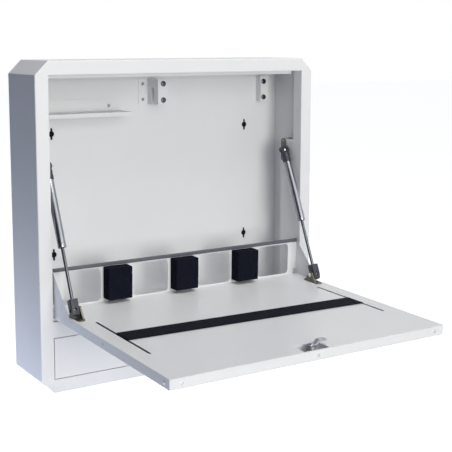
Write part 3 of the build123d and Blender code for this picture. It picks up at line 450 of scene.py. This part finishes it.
sheet_screw = pan_screw("sheet_screw", head_height, 2.4 * mm)
shelf_screw_xs, shelf_screw_front, shelf_screw_rise = (-267.3, -98.7), 122.6, 509.9
shelf_places = [
    facing(to_front, in_cabinet(x, shelf_screw_front, shelf_screw_rise), x)
    for x in shelf_screw_xs
]
dressed(
    copies("shelf_pan_screws", sheet_screw, shelf_places),
    plated_screw, "cabinet", "shelf_screws", slot="zinc_steel",
)

long_screw = pan_screw("long_screw", head_height, 6.0 * mm)
wall_screw_x, wall_screw_front, wall_screw_middle, wall_screw_step = 273.0, 58.3, 409.5, 18.5
wall_places = [
    facing(
        (-side, 0, 0),
        in_cabinet(side * wall_screw_x, wall_screw_front, wall_screw_middle + rise),
        side + rise,
    )
    for side in (-1, 1) for rise in (-wall_screw_step, wall_screw_step)
]
dressed(
    copies("strut_plate_pan_screws", long_screw, wall_places),
    plated_screw, "cabinet", "wall_bracket_screws", slot="zinc_steel",
)

face_screw = pan_screw("face_screw", head_height, 1.6 * mm)
drawer_low, drawer_high = 30.0, 97.0
face_screw_x, face_screw_front, face_screw_step = 215.0, 2.2, 16.75
drawer_places = [
    facing(
        to_back,
        in_cabinet(
            side * face_screw_x, face_screw_front,
            (drawer_low + drawer_high) / 2 + step * face_screw_step,
        ),
        side + step,
    )
    for side in (-1, 1) for step in (-1, 1)
]
dressed(
    copies("drawer_face_screws", face_screw, drawer_places),
    plated_screw, "drawer", "drawer_screws", slot="zinc_steel",
)

# The desk is drawn lying level from its hinge line, X to the right, -Y to the front and Z up,
# and then put on the hinge with its small droop.
hinge_line, desk_droop = (0, -0.1165, -0.1973), radians(1.2)
desk_place = Matrix.Translation(hinge_line) @ Matrix.Rotation(desk_droop, 4, "X")
desk_front, desk_side = 425.8 * mm, 273.0 * mm
edge_screw_x, edge_screw_distances = 252.0 * mm, (206.0 * mm, 410.0 * mm)
edge_screw = pan_screw("edge_screw", flush_height, 4.0 * mm)
edge_places = [
    facing(to_front, (x, -desk_front, 0), x * 9) for x in (-edge_screw_x, 0, edge_screw_x)
] + [
    facing((side, 0, 0), (side * desk_side, -distance, 0), distance * 9)
    for side in (-1, 1) for distance in edge_screw_distances
]
# The desk's edge screws get a lighter copy of the same zinc plating: painted light, so that they read
# faint on the desk's bright edges.
edge_plating = Finish("edge_screw_plating_painted_lighter")
edge_cloud = edge_plating.noise(500.0, 2.0)
edge_zinc_painted_lighter = edge_plating.surface(
    Base_Color=edge_plating.mix(edge_cloud, paint_colour(178, 179, 182), paint_colour(204, 205, 208)),
    Metallic=1.0,
    Roughness=0.4 + edge_cloud * 0.15,
)
dressed(
    moved(copies("desk_edge_pan_screws", edge_screw, edge_places), desk_place),
    edge_zinc_painted_lighter, "desk", "desk_edge_screws", slot="zinc_steel",
)


# The screws of the two hanging brackets are blackened steel, half a turn of thread showing
# behind the flange.
black_steel = Finish("black_oxide")
oxide = black_steel.noise(600.0, 3.0)
black_oxide = black_steel.surface(
    Base_Color=black_steel.mix(oxide, paint_colour(62, 66, 76), paint_colour(96, 100, 110)),
    Metallic=1.0,
    Roughness=0.12 + oxide * 0.14,
    Normal=black_steel.bump(oxide, 0.00003, 0.3),
)
hanging_head, hanging_head_height = 5.4 * mm, 2.6 * mm
hanging_shank, hanging_core = 6.0 * mm, 2.9 * mm
hanging_recess = (6.4 * mm, 1.6 * mm)
left_screw_x, left_flange, left_screw_rises = -1.5, 79.0, (519.8, 551.5)
right_screw_x, right_flange, right_screw_rises = 255.2, 106.0, (517.6, 550.3)
hanging_screw = pan_screw(
    "hanging_screw", hanging_head_height, hanging_shank,
    radius=hanging_head, core=hanging_core, recess=hanging_recess,
)
left_places = [
    facing(to_front, in_cabinet(left_screw_x, left_flange, z), z) for z in left_screw_rises
]
right_places = [
    facing(to_front, in_cabinet(right_screw_x, right_flange, z), z) for z in right_screw_rises
]
for name, places in (("left", left_places), ("right", right_places)):
    dressed(
        copies(name + "_hanging_screws", hanging_screw, places),
        black_oxide, "cabinet", name + "_bracket_screws", slot="dark_steel",
    )


# Two domed rivets hold the left bracket's foot, and four flush ones the strut plates on the
# desk: zinc-plated steel, each with the small dimple that setting it leaves.
rivet = turned("domed_rivet", [
    (shank_radius, -2.4 * mm),
    (shank_radius, 0.0),
    (head_radius, 0.0),
    (head_radius * 0.97, head_height * 0.3),
    (head_radius * 0.82, head_height * 0.68),
    (head_radius * 0.55, head_height * 0.93),
    (head_radius * 0.36, head_height),
    (head_radius * 0.3, head_height * 0.75),
    (head_radius * 0.1, head_height * 0.7),
])
foot_rivet_x, foot_rivet_front, foot_rivet_rises = -23.5, 122.6, (519.9, 550.4)
rivet_places = [
    facing(to_front, in_cabinet(foot_rivet_x, foot_rivet_front, z)) for z in foot_rivet_rises
]
dressed(
    copies("left_bracket_domed_rivets", rivet, rivet_places),
    plated_screw, "cabinet", "left_bracket_rivets", slot="zinc_steel",
)
flush_rivet = turned("flush_rivet", [
    (head_radius, -4.3 * mm),
    (head_radius, -2.8 * mm),
    (shank_radius, -2.8 * mm),
    (shank_radius, -0.02 * mm),
    (shank_radius * 0.9, 0.0),
    (shank_radius * 0.5, 0.0),
    (shank_radius * 0.4, -0.3 * mm),
])
plate_top, plate_rivet_x, plate_rivet_distances = 10.8 * mm, 259.0 * mm, (57.0 * mm, 94.0 * mm)
desk_rivet_places = [
    Matrix.Translation((side * plate_rivet_x, -distance, plate_top))
    for side in (-1, 1) for distance in plate_rivet_distances
]
dressed(
    moved(copies("desk_plate_rivets", flush_rivet, desk_rivet_places), desk_place),
    plated_screw, "desk", "desk_bracket_rivets", slot="zinc_steel",
)
for model in (
    sheet_screw, long_screw, face_screw, edge_screw, hanging_screw, rivet, flush_rivet
):
    bpy.data.objects.remove(model)


# The struts' four plates are pressed steel with a yellow passivated zinc, olive in the
# shade; their ball studs are bright.
olive = Finish("olive_zinc")
olive_cloud = olive.noise(130.0, 3.0)
olive_grain = olive.noise(900.0, 2.0)
olive_zinc = olive.surface(
    Base_Color=olive.mix(olive_cloud, paint_colour(92, 90, 84), paint_colour(128, 126, 119)),
    Metallic=1.0,
    Roughness=0.3 + olive_grain * 0.2,
    Normal=olive.bump(olive_grain, 0.00004, 0.3, olive.rounded(0.0006)),
)
bright = Finish("bright_steel")
bright_grain = bright.noise(700.0, 2.0)
bright_steel = bright.surface(
    Base_Color=bright.mix(bright_grain, (0.72, 0.72, 0.73, 1), (0.8, 0.8, 0.81, 1)),
    Metallic=1.0,
    Roughness=0.14 + bright_grain * 0.08,
)
for side in ("left", "right"):
    wear("strut_wall_bracket_" + side, olive_zinc)
    wear("strut_desk_bracket_" + side, olive_zinc)
wear("wall_ball_studs", bright_steel)
wear("desk_ball_studs", bright_steel)


# Each gas strut leans back from its ball on the desk to its ball on the case's side. It is
# drawn standing on its lower ball, -Y to the front, and then leant and moved there.
strut_lean = radians(24.0842)
lower_ball = (0.264, -0.191982, -0.175076)


def strut_place(side):
    place = (side * lower_ball[0], lower_ball[1], lower_ball[2])
    return Matrix.Translation(place) @ Matrix.Rotation(-strut_lean, 4, "X")


# The rod is hard-chromed and ground; the piston and the rod's guide inside are black nylon.
# The chrome's base colour is far darker than chrome's own: a painted dark reflection on the rods.
chrome = Finish("chrome_painted_dark_reflection")
chrome_haze = chrome.noise(300.0, 2.0)
chrome_painted_dark_reflection = chrome.surface(
    Base_Color=chrome.mix(chrome_haze, (0.12, 0.13, 0.155, 1), (0.18, 0.19, 0.215, 1)),
    Metallic=1.0,
    Roughness=0.07 + chrome_haze * 0.04,
)
nylon = Finish("black_nylon")
nylon_grain = nylon.noise(900.0, 3.0)
black_nylon = nylon.surface(
    Base_Color=nylon.mix(nylon_grain, paint_colour(36, 37, 47), paint_colour(54, 56, 69)),
    Roughness=0.36 + nylon_grain * 0.16,
    Normal=nylon.bump(nylon_grain, 0.00008, 0.35, nylon.rounded(0.0005)),
)
for side in ("left", "right"):
    wear("strut_rod_" + side, chrome_painted_dark_reflection)
    wear("strut_piston_" + side, black_nylon)
    wear("strut_rod_guide_" + side, black_nylon)


# The strut's tube is drawn steel, ground and clear-lacquered, rolled in at the rod's end
# with a crimped groove and shouldered at the other.
tube_radius, tube_start, tube_end = 7.5 * mm, 112.6 * mm, 243.6 * mm
tube_bore = 6.5 * mm
lip, groove = 0.8 * mm, 0.6 * mm
tube_steel = Finish("lacquered_steel")
tube_grain = tube_steel.noise(260.0, 2.0)
tube_streak = tube_steel.noise(35.0, 2.0)
lacquered_steel = tube_steel.surface(
    Base_Color=tube_steel.mix(tube_streak, paint_colour(140, 143, 150), paint_colour(160, 163, 170)),
    Metallic=1.0,
    Roughness=0.17 + tube_grain * 0.07,
)
tube_rings = [
    (4.0 * mm, tube_start + 0.7 * mm),
    (tube_bore, tube_start + 0.25 * mm),
    (tube_radius - lip, tube_start),
    (tube_radius - lip * 0.3, tube_start + lip * 0.25),
    (tube_radius, tube_start + lip),
    (tube_radius, tube_start + 4.3 * mm),
    (tube_radius - groove * 0.75, tube_start + 4.6 * mm),
    (tube_radius - groove, tube_start + 5.0 * mm),
    (tube_radius - groove * 0.75, tube_start + 5.4 * mm),
    (tube_radius, tube_start + 5.7 * mm),
    (tube_radius, tube_end - 3.0 * mm),
    (tube_radius - 0.5 * mm, tube_end - 1.4 * mm),
    (tube_radius - 1.6 * mm, tube_end - 0.4 * mm),
    (tube_radius - 3.0 * mm, tube_end),
]
tube_model = turned("strut_tube", tube_rings, 64)


# The lower end fitting is a black nylon block screwed on the rod: it snaps over the ball
# from inside, and a window in its front shows the ball.
socket_half, socket_deep = 7.0 * mm, 8.0 * mm
socket_foot, socket_taper, socket_top = -11.0 * mm, -1.0 * mm, 19.5 * mm
socket_end = 5.0 * mm
ball_seat, stud_way = 4.3 * mm, 3.1 * mm
window_radius, window_reach = 2.4 * mm, 1.1 * mm


def choose(piece, kind, test):
    """Goes to edit mode with those faces or edges chosen whose middle and way pass a test."""
    nothing_chosen()
    bpy.context.view_layer.objects.active = piece
    piece.select_set(True)
    bpy.ops.object.mode_set(mode="EDIT")
    bpy.ops.mesh.select_mode(type=kind)
    bpy.ops.mesh.select_all(action="DESELECT")
    bpy.ops.object.mode_set(mode="OBJECT")
    if kind == "FACE":
        for face in piece.data.polygons:
            face.select = test(face.center, face.normal)
    else:
        for edge in piece.data.edges:
            start, end = (piece.data.vertices[i].co for i in edge.vertices)
            edge.select = test((start + end) / 2, (end - start).normalized())
    bpy.ops.object.mode_set(mode="EDIT")


socket_model = block(
    "strut_lower_fitting", (-socket_half, -socket_deep, socket_foot),
    (socket_half, socket_deep, socket_top),
)
bpy.ops.object.mode_set(mode="EDIT")
bpy.ops.mesh.select_all(action="SELECT")
bpy.ops.mesh.bisect(plane_co=(0, 0, socket_taper), plane_no=(0, 0, 1))
choose(socket_model, "FACE", lambda middle, normal: normal.z < -0.9)
bpy.ops.transform.resize(
    value=(1, socket_end / socket_deep, 1), center_override=(0, 0, socket_foot)
)
choose(
    socket_model, "EDGE",
    lambda middle, way: middle.z < socket_foot + 0.1 * mm and abs(way.x) > 0.9,
)
bpy.ops.mesh.bevel(offset=3.6 * mm, segments=8, affect="EDGES")
bpy.ops.object.mode_set(mode="OBJECT")
apply_modifier(
    socket_model, "BEVEL", width=0.7 * mm, segments=3, limit_method="ANGLE",
    angle_limit=radians(40),
)
ball_cut = turned("ball_cut", [
    (ball_seat * sin(pi * (step + 0.5) / 16), -ball_seat * cos(pi * (step + 0.5) / 16))
    for step in range(16)
])
rod_cut = turned("rod_cut", [(3.0 * mm, 12.0 * mm), (3.0 * mm, 22.0 * mm)])
stud_cut = moved(
    turned("stud_cut", [(stud_way, -9.0 * mm), (stud_way, 9.0 * mm)]),
    Matrix.Rotation(pi / 2, 4, "Y"),
)
window_cuts = [block(
    "window_cut", (-window_radius, -0.01, -window_reach), (window_radius, 0, window_reach)
)]
for height in (-window_reach, window_reach):
    window_cuts.append(moved(
        turned("window_end", [(window_radius, 0.0), (window_radius, 0.01)]),
        Matrix.Translation((0, 0, height)) @ Matrix.Rotation(pi / 2, 4, "X"),
    ))
cut(socket_model, ball_cut, rod_cut, stud_cut, *window_cuts)


# The upper fitting is a black nylon cap pressed on the tube: a round head, open in front,
# that holds the bright ball of the wall stud.
ball_height, ball_radius = 264.611 * mm, 4.0 * mm
cap_foot, cap_radius, cap_bore = 238.6 * mm, 8.5 * mm, 7.52 * mm
round_radius, round_half, round_window = 9.0 * mm, 5.0 * mm, 3.7 * mm
cap_model = turned("strut_upper_fitting", [
    (cap_bore, cap_foot + 4.9 * mm),
    (cap_bore, cap_foot),
    (cap_radius - 0.5 * mm, cap_foot),
    (cap_radius, cap_foot + 0.5 * mm),
    (cap_radius, cap_foot + 9.0 * mm),
    (cap_radius - 0.45 * mm, cap_foot + 9.6 * mm),
    (cap_radius - 0.45 * mm, cap_foot + 10.6 * mm),
    (cap_radius - 0.1 * mm, cap_foot + 11.2 * mm),
    (cap_radius - 0.1 * mm, ball_height - 6.8 * mm),
    (cap_radius - 0.9 * mm, ball_height - 6.0 * mm),
], 48)
round_head = moved(
    turned("round_head", [
        (round_radius - 0.8 * mm, -round_half),
        (round_radius, -round_half + 0.8 * mm),
        (round_radius, round_half - 0.8 * mm),
        (round_radius - 0.8 * mm, round_half),
    ], 48),
    Matrix.Translation((0, 0, ball_height)) @ Matrix.Rotation(pi / 2, 4, "X"),
)
apply_modifier(cap_model, "BOOLEAN", object=round_head, operation="UNION", solver="EXACT")
bpy.data.objects.remove(round_head)
seat_cut = moved(turned("seat_cut", [
    (ball_seat * sin(pi * (step + 0.5) / 16), -ball_seat * cos(pi * (step + 0.5) / 16))
    for step in range(16)
]), Matrix.Translation((0, 0, ball_height)))
through_cut = moved(
    turned("through_cut", [
        (round_window + 0.9 * mm, -7.0 * mm),
        (round_window + 0.6 * mm, -round_half),
        (round_window, -round_half + 0.6 * mm),
        (round_window, round_half - 0.6 * mm),
        (round_window + 0.6 * mm, round_half),
        (round_window + 0.9 * mm, 7.0 * mm),
    ]),
    Matrix.Translation((0, 0, ball_height)) @ Matrix.Rotation(pi / 2, 4, "X"),
)
cut(cap_model, seat_cut, through_cut)
ball_model = moved(turned("held_ball", [
    (max(ball_radius * sin(pi * step / 20), 0.02 * mm), -ball_radius * cos(pi * step / 20))
    for step in range(21)
]), Matrix.Translation((0, 0, ball_height)))
for side, name in ((-1, "left"), (1, "right")):
    place = [strut_place(side)]
    dressed(
        copies("strut_steel_tube_" + name, tube_model, place),
        lacquered_steel, "strut_tube_" + name, "strut_tube_" + name, slot="strut_steel",
    )
    dressed(
        copies("strut_lower_fitting_" + name, socket_model, place),
        black_nylon, "strut_rod_" + name, "strut_lower_socket_" + name, slot="black_plastic",
    )
    dressed(
        copies("strut_upper_fitting_" + name, cap_model, place),
        black_nylon, "strut_tube_" + name, "strut_upper_socket_" + name, slot="black_plastic",
    )
    dressed(
        copies("strut_upper_ball_" + name, ball_model, place),
        bright_steel, "strut_tube_" + name, slot="rod_chrome",
    )
for model in (tube_model, socket_model, cap_model, ball_model):
    bpy.data.objects.remove(model)


# Three rests of dark reticulated foam are glued on the web behind the desk, and keep the
# laptop off the steel. Cut with flat faces, they bulge a little and their cells show.
foam_width, foam_front, foam_back = 48.5 * mm, 25.5 * mm, 0.3 * mm
foam_foot, foam_top = 15.3 * mm, 75.3 * mm
foam_crown, foam_round, cell_size, skin_room = 0.7 * mm, 0.6 * mm, 1.3 * mm, 0.2 * mm
mesh_cell, cell_depth, glued_depth = 0.75 * mm, 1.1 * mm, 1.5 * mm
foam_places = (("left", -147.3 * mm), ("centre", -4.4 * mm), ("right", 135.6 * mm))

foam = Finish("dark_foam")
cells = foam.node(
    "ShaderNodeTexVoronoi", {"feature": "F1"}, {"Vector": foam.place(), "Scale": 620.0}
)
tufts = foam.noise(330.0, 4.0)
grain = foam.node(
    "ShaderNodeMapping", {"vector_type": "POINT"},
    {"Vector": foam.place(), "Scale": (1.0, 1.0, 0.12)}, output="Vector",
)
shade_of_foam = foam.node(
    "ShaderNodeTexNoise", {}, {"Vector": grain, "Scale": 420.0, "Detail": 3.0}
)
# The near-black in the middle of each cell is painted shade in the foam's open pores; around it lies
# the foam's own navy, darker and lighter along its grain.
foam_tint = foam.mix(
    cells * 1.2, paint_colour(2, 3, 9), foam.mix(
        shade_of_foam, paint_colour(17, 20, 34), paint_colour(33, 36, 51)
    ),
)
dark_foam = foam.surface(
    Base_Color=foam_tint, Roughness=1.0, Normal=foam.bump(cells + tufts, 0.0012, 0.8),
    Specular_IOR_Level=0.08,
)
cell_texture = bpy.data.textures.new("foam_cells", "CLOUDS")
cell_texture.noise_scale = cell_size
cell_texture.noise_depth = 1

for name, middle in foam_places:
    rest = block(
        "foam_rest_" + name,
        (middle - foam_width / 2 + skin_room, -foam_front + foam_crown, foam_foot + skin_room),
        (middle + foam_width / 2 - skin_room, -foam_back, foam_top - skin_room),
    )
    apply_modifier(
        rest, "BEVEL", width=foam_round, segments=2, limit_method="ANGLE",
        angle_limit=radians(40),
    )
    apply_modifier(rest, "REMESH", mode="VOXEL", voxel_size=mesh_cell)
    low, high = Vector(rest.bound_box[0]), Vector(rest.bound_box[6])
    centre, half = (low + high) / 2, (high - low) / 2
    for corner in rest.data.vertices:
        across = (corner.co.x - centre.x) / half.x
        along = (corner.co.z - centre.z) / half.z
        deep = (low.y - corner.co.y) / (low.y - high.y)
        bulge = (1 - across ** 2) * (1 - along ** 2)
        corner.co.y -= foam_crown * bulge * (1 - deep)
        corner.co.x += across * foam_crown * 0.4 * (1 - along ** 2) * (1 - deep)
    free = rest.vertex_groups.new(name="free")
    loose = [c.index for c in rest.data.vertices if c.co.y < -foam_back - glued_depth]
    free.add(loose, 1.0, "REPLACE")
    apply_modifier(
        rest, "DISPLACE", texture=cell_texture, strength=cell_depth, mid_level=0.5,
        vertex_group="free",
    )
    moved(rest, desk_place)
    dressed(rest, dark_foam, "desk", "foam_block_" + name, slot="foam", angle=180)


# A soft grey edging of extruded vinyl is pushed on the top of the web: a round bead over the
# steel and two lips down its sides.
vinyl = Finish("grey_vinyl")
vinyl_grain = vinyl.noise(500.0, 2.0)
vinyl_cloud = vinyl.noise(14.0, 2.0)
grey_vinyl = vinyl.surface(
    Base_Color=vinyl.mix(vinyl_cloud, paint_colour(70, 72, 82), paint_colour(88, 90, 100)),
    Roughness=0.38 + vinyl_grain * 0.15,
    Normal=vinyl.bump(vinyl_grain, 0.00008, 0.3),
)
wear("web_edge_trim", grey_vinyl)


# The strap is a flat band of dark woven nylon, 42 mm wide. It lies over the desk's top a
# little askew, and goes down a slot at each side to loop round a bar.
strap_width, strap_thickness = 42.0 * mm, 1.8 * mm
slot_x, strap_level = 240.5 * mm, 10.4 * mm
left_middle, right_middle = 212.0 * mm, 230.75 * mm
bar_depth, loop_radius, bend_radius = 2.6 * mm, 3.0 * mm, 1.6 * mm
tail_turn, loop_turn, loop_steps, bend_steps, flat_steps = 40, 335, 24, 6, 60
skew = (right_middle - left_middle) / (2 * slot_x)

end_loop = []
for step in range(loop_steps + 1):
    turn = radians(tail_turn + (loop_turn - tail_turn) * step / loop_steps)
    end_loop.append((-slot_x + loop_radius * sin(turn), bar_depth + loop_radius * cos(turn)))
end_loop.append((-slot_x, bar_depth + loop_radius + 1.6 * mm))
for step in range(bend_steps + 1):
    turn = pi / 2 * step / bend_steps
    end_loop.append((
        -slot_x + bend_radius * (1 - cos(turn)), strap_level - bend_radius * (1 - sin(turn))
    ))
flat_start = -slot_x + bend_radius
flat_run = [
    (flat_start * (1 - 2 * step / flat_steps), strap_level) for step in range(1, flat_steps)
]
route = end_loop + flat_run + [(-x, height) for x, height in reversed(end_loop)]


def strap_point(x, height):
    return Vector((x, -(left_middle + skew * (x + slot_x)), height))


nothing_chosen()
bpy.ops.mesh.primitive_plane_add(size=strap_width, location=(0, 0, 0))
strap = bpy.context.active_object
strap.name = "woven_strap"
choose(strap, "EDGE", lambda middle, way: middle.x < strap_width * 0.4)
bpy.ops.mesh.delete(type="EDGE")
bpy.ops.mesh.select_all(action="SELECT")
bpy.ops.transform.translate(value=strap_point(*route[0]) + Vector((-strap_width / 2, 0, 0)))
for before, after in zip(route, route[1:]):
    step = strap_point(*after) - strap_point(*before)
    bpy.ops.mesh.extrude_region_move(TRANSFORM_OT_translate={"value": step})
bpy.ops.object.mode_set(mode="OBJECT")

distances = [0.0]
for before, after in zip(route, route[1:]):
    distances.append(distances[-1] + (strap_point(*after) - strap_point(*before)).length)
weave_map = strap.data.uv_layers.new(name="weave")
for corner in strap.data.loops:
    point = strap.data.vertices[corner.vertex_index].co
    along = distances[corner.vertex_index // 2]
    centre = strap_point(point.x, 0).y
    weave_map.data[corner.index].uv = (along, point.y - centre)
apply_modifier(strap, "SOLIDIFY", thickness=strap_thickness, offset=0.0, use_even_offset=True)
apply_modifier(
    strap, "BEVEL", width=0.5 * mm, segments=3, limit_method="ANGLE", angle_limit=radians(60)
)
bpy.ops.object.mode_set(mode="EDIT")
bpy.ops.mesh.select_all(action="SELECT")
bpy.ops.mesh.normals_make_consistent(inside=False)
bpy.ops.object.mode_set(mode="OBJECT")

webbing = Finish("woven_nylon")
cord_pitch, pick_pitch = 1.5 * mm, 1.3 * mm
threads = webbing.node("ShaderNodeUVMap", {"uv_map": "weave"})
along = webbing.node("ShaderNodeSeparateXYZ", {}, {0: threads}, output="X")
across = webbing.node("ShaderNodeSeparateXYZ", {}, {0: threads}, output="Y")


def wave(finish, value):
    return finish.node("ShaderNodeMath", {"operation": "SINE"}, {0: value})


cords = wave(webbing, across * (2 * pi / cord_pitch))
picks = wave(webbing, along * (2 * pi / pick_pitch))
weave = cords * picks
fuzz = webbing.noise(1400.0, 2.0)
wear_cloud = webbing.noise(30.0, 3.0)
yarn = webbing.mix(weave * 0.5 + 0.5, paint_colour(3, 4, 10), paint_colour(18, 20, 32))
nylon_tint = webbing.mix(wear_cloud * 0.25, yarn, paint_colour(24, 27, 42))
woven_nylon = webbing.surface(
    Base_Color=nylon_tint,
    Roughness=0.78 + fuzz * 0.15,
    Normal=webbing.bump(weave + fuzz * 0.5, 0.0004, 0.6),
    Specular_IOR_Level=0.1,
)
moved(strap, desk_place)
dressed(strap, woven_nylon, "strap", "laptop_strap", slot="strap_web", angle=50)


# The lock is a cam lock of die-cast zinc, nickel-plated: a threaded barrel with two flats
# and a rim outside, a hexagon nut inside the desk, and the plug that the key turns.
lock_axis = Matrix.Translation((0, -0.407, 0))
barrel_radius, barrel_top = 9.5 * mm, 10.6 * mm
rim_radius, rim_low, rim_high = 11.5 * mm, -10.5 * mm, -8.5 * mm
barrel_bore, barrel_flat = 6.5 * mm, 8.6 * mm
thread_pitch, thread_depth = 1.0 * mm, 0.45 * mm
nickel = Finish("nickel_plate")
nickel_haze = nickel.noise(240.0, 3.0)
nickel_plate = nickel.surface(
    Base_Color=nickel.mix(nickel_haze, paint_colour(120, 122, 126), paint_colour(158, 160, 164)),
    Metallic=1.0,
    Roughness=0.2 + nickel_haze * 0.14,
)
barrel_rings = [
    (barrel_bore, barrel_top - 6 * mm),
    (barrel_bore, rim_low),
    (rim_radius - 1.2 * mm, rim_low),
    (rim_radius - 0.3 * mm, rim_low + 0.5 * mm),
    (rim_radius, rim_low + 1.1 * mm),
    (rim_radius, rim_high),
    (barrel_radius, rim_high),
]
height = rim_high + 0.4 * mm
while height < barrel_top - 1.4 * mm:
    barrel_rings.append((barrel_radius, height))
    barrel_rings.append((barrel_radius - thread_depth, height + thread_pitch / 2))
    height += thread_pitch
barrel_rings += [
    (barrel_radius - thread_depth, barrel_top - 0.6 * mm),
    (barrel_radius - thread_depth - 0.5 * mm, barrel_top),
    (barrel_bore, barrel_top),
    (barrel_bore, barrel_top - 5.9 * mm),
]
barrel = turned("lock_barrel", barrel_rings, 56)
for side in (-1, 1):
    flat_low, flat_high = sorted((side * barrel_flat, side * 12 * mm))
    cut(barrel, block("flat", (flat_low, -0.02, rim_high), (flat_high, 0.02, 0.02)))
dressed(
    moved(barrel, desk_place @ lock_axis),
    nickel_plate, "desk", "lock_cylinder", slot="lock_chrome",
)

nut_across, nut_low, nut_high = 26.0 * mm, -7.5 * mm, -3.5 * mm
nut_radius = nut_across / 2 / cos(pi / 6)
nut = turned("lock_hexagon_nut", [(nut_radius, nut_low), (nut_radius, nut_high)], 6)
chamfer = turned("nut_chamfer", [
    (nut_radius * 0.93, nut_low - 0.2 * mm),
    (nut_radius * 1.0, nut_low + 0.9 * mm),
    (nut_radius * 1.0, nut_high - 0.9 * mm),
    (nut_radius * 0.93, nut_high + 0.2 * mm),
], 48)
apply_modifier(nut, "BOOLEAN", object=chamfer, operation="INTERSECT", solver="EXACT")
bpy.data.objects.remove(chamfer)
cut(nut, turned("nut_bore", [(barrel_radius, -0.02), (barrel_radius, 0.02)], 48))
dressed(
    moved(nut, desk_place @ lock_axis @ Matrix.Rotation(0.21, 4, "Z")),
    zinc_plate, "desk", "lock_nut", slot="dark_steel",
)

plug_radius, plug_low, plug_high = 6.2 * mm, -10.2 * mm, 11.0 * mm
keyway_half, keyway_reach, keyway_depth = 0.8 * mm, 4.0 * mm, 3.0 * mm
plug = turned("lock_key_plug", [
    (plug_radius - 0.5 * mm, plug_low),
    (plug_radius, plug_low + 0.4 * mm),
    (plug_radius, plug_high - 0.4 * mm),
    (plug_radius - 0.4 * mm, plug_high),
])
cut(plug, block(
    "keyway", (-keyway_half, -keyway_reach, plug_low - mm),
    (keyway_half, keyway_reach, plug_low + keyway_depth),
))
dressed(
    moved(plug, desk_place @ lock_axis),
    nickel_plate, "lock", "lock_plug", slot="lock_chrome",
)


# The cam is a strip of polished nickel-plated steel, cranked up from its hub and drilled
# near its rounded tip. One pan-head screw holds it on the plug.
cam_low, cam_thickness, cam_high = 11.0 * mm, 2.0 * mm, 17.1 * mm
cam_half, hub_reach, cam_reach = 6.0 * mm, 8.0 * mm, 29.0 * mm
crank_start, crank_end = 6.4 * mm, 12.9 * mm
eye_x, eye_radius, hub_hole = 23.4 * mm, 1.8 * mm, 1.9 * mm
polish = Finish("polished_nickel")
polish_haze = polish.noise(180.0, 3.0)
polished_nickel = polish.surface(
    Base_Color=polish.mix(polish_haze, (0.30, 0.32, 0.36, 1), (0.46, 0.48, 0.52, 1)),
    Metallic=1.0,
    Roughness=0.1 + polish_haze * 0.1,
    Normal=polish.rounded(0.0003),
)
cam = block(
    "lock_cranked_cam", (-hub_reach, -cam_half, cam_low),
    (crank_start, cam_half, cam_low + cam_thickness),
)
choose(cam, "FACE", lambda middle, normal: normal.x > 0.9)
for step in (
    (crank_end - crank_start, 0, cam_high - cam_low), (cam_reach - crank_end, 0, 0)
):
    bpy.ops.mesh.extrude_region_move(TRANSFORM_OT_translate={"value": step})
choose(
    cam, "EDGE",
    lambda middle, way: abs(way.z) > 0.9 and (
        middle.x > cam_reach - mm or middle.x < -hub_reach + mm
    ),
)
bpy.ops.mesh.bevel(offset=cam_half - 0.2 * mm, segments=10, affect="EDGES")
choose(
    cam, "EDGE",
    lambda middle, way: abs(way.y) > 0.9 and crank_start - mm < middle.x < crank_end + mm,
)
bpy.ops.mesh.bevel(offset=1.0 * mm, segments=4, affect="EDGES")
bpy.ops.object.mode_set(mode="OBJECT")
apply_modifier(
    cam, "BEVEL", width=0.25 * mm, segments=2, limit_method="ANGLE", angle_limit=radians(50)
)
eye = moved(
    turned("eye", [(eye_radius, 0.0), (eye_radius, 0.03)]), Matrix.Translation((eye_x, 0, 0))
)
cut(cam, eye, turned("hub_hole", [(hub_hole, 0.0), (hub_hole, 0.03)]))
dressed(
    moved(cam, desk_place @ lock_axis),
    polished_nickel, "lock", "lock_cam", slot="lock_chrome",
)
hub_screw = pan_screw("cam_hub_screw", 2.0 * mm, 2.0 * mm, 3.8 * mm)
on_hub = Matrix.Translation((0, 0, cam_low + cam_thickness))
dressed(
    moved(hub_screw, desk_place @ lock_axis @ on_hub),
    plated_screw, "lock", "cam_screw", slot="zinc_steel",
)


# The desk's pivot pins turn in bushes of natural nylon.
natural = Finish("natural_nylon")
natural_cloud = natural.noise(200.0, 2.0)
wear("pivot_bushes", natural.surface(
    Base_Color=natural.mix(natural_cloud, paint_colour(226, 223, 212), paint_colour(236, 234, 226)),
    Roughness=0.45 + natural_cloud * 0.1,
    Normal=natural.rounded(0.0004),
))
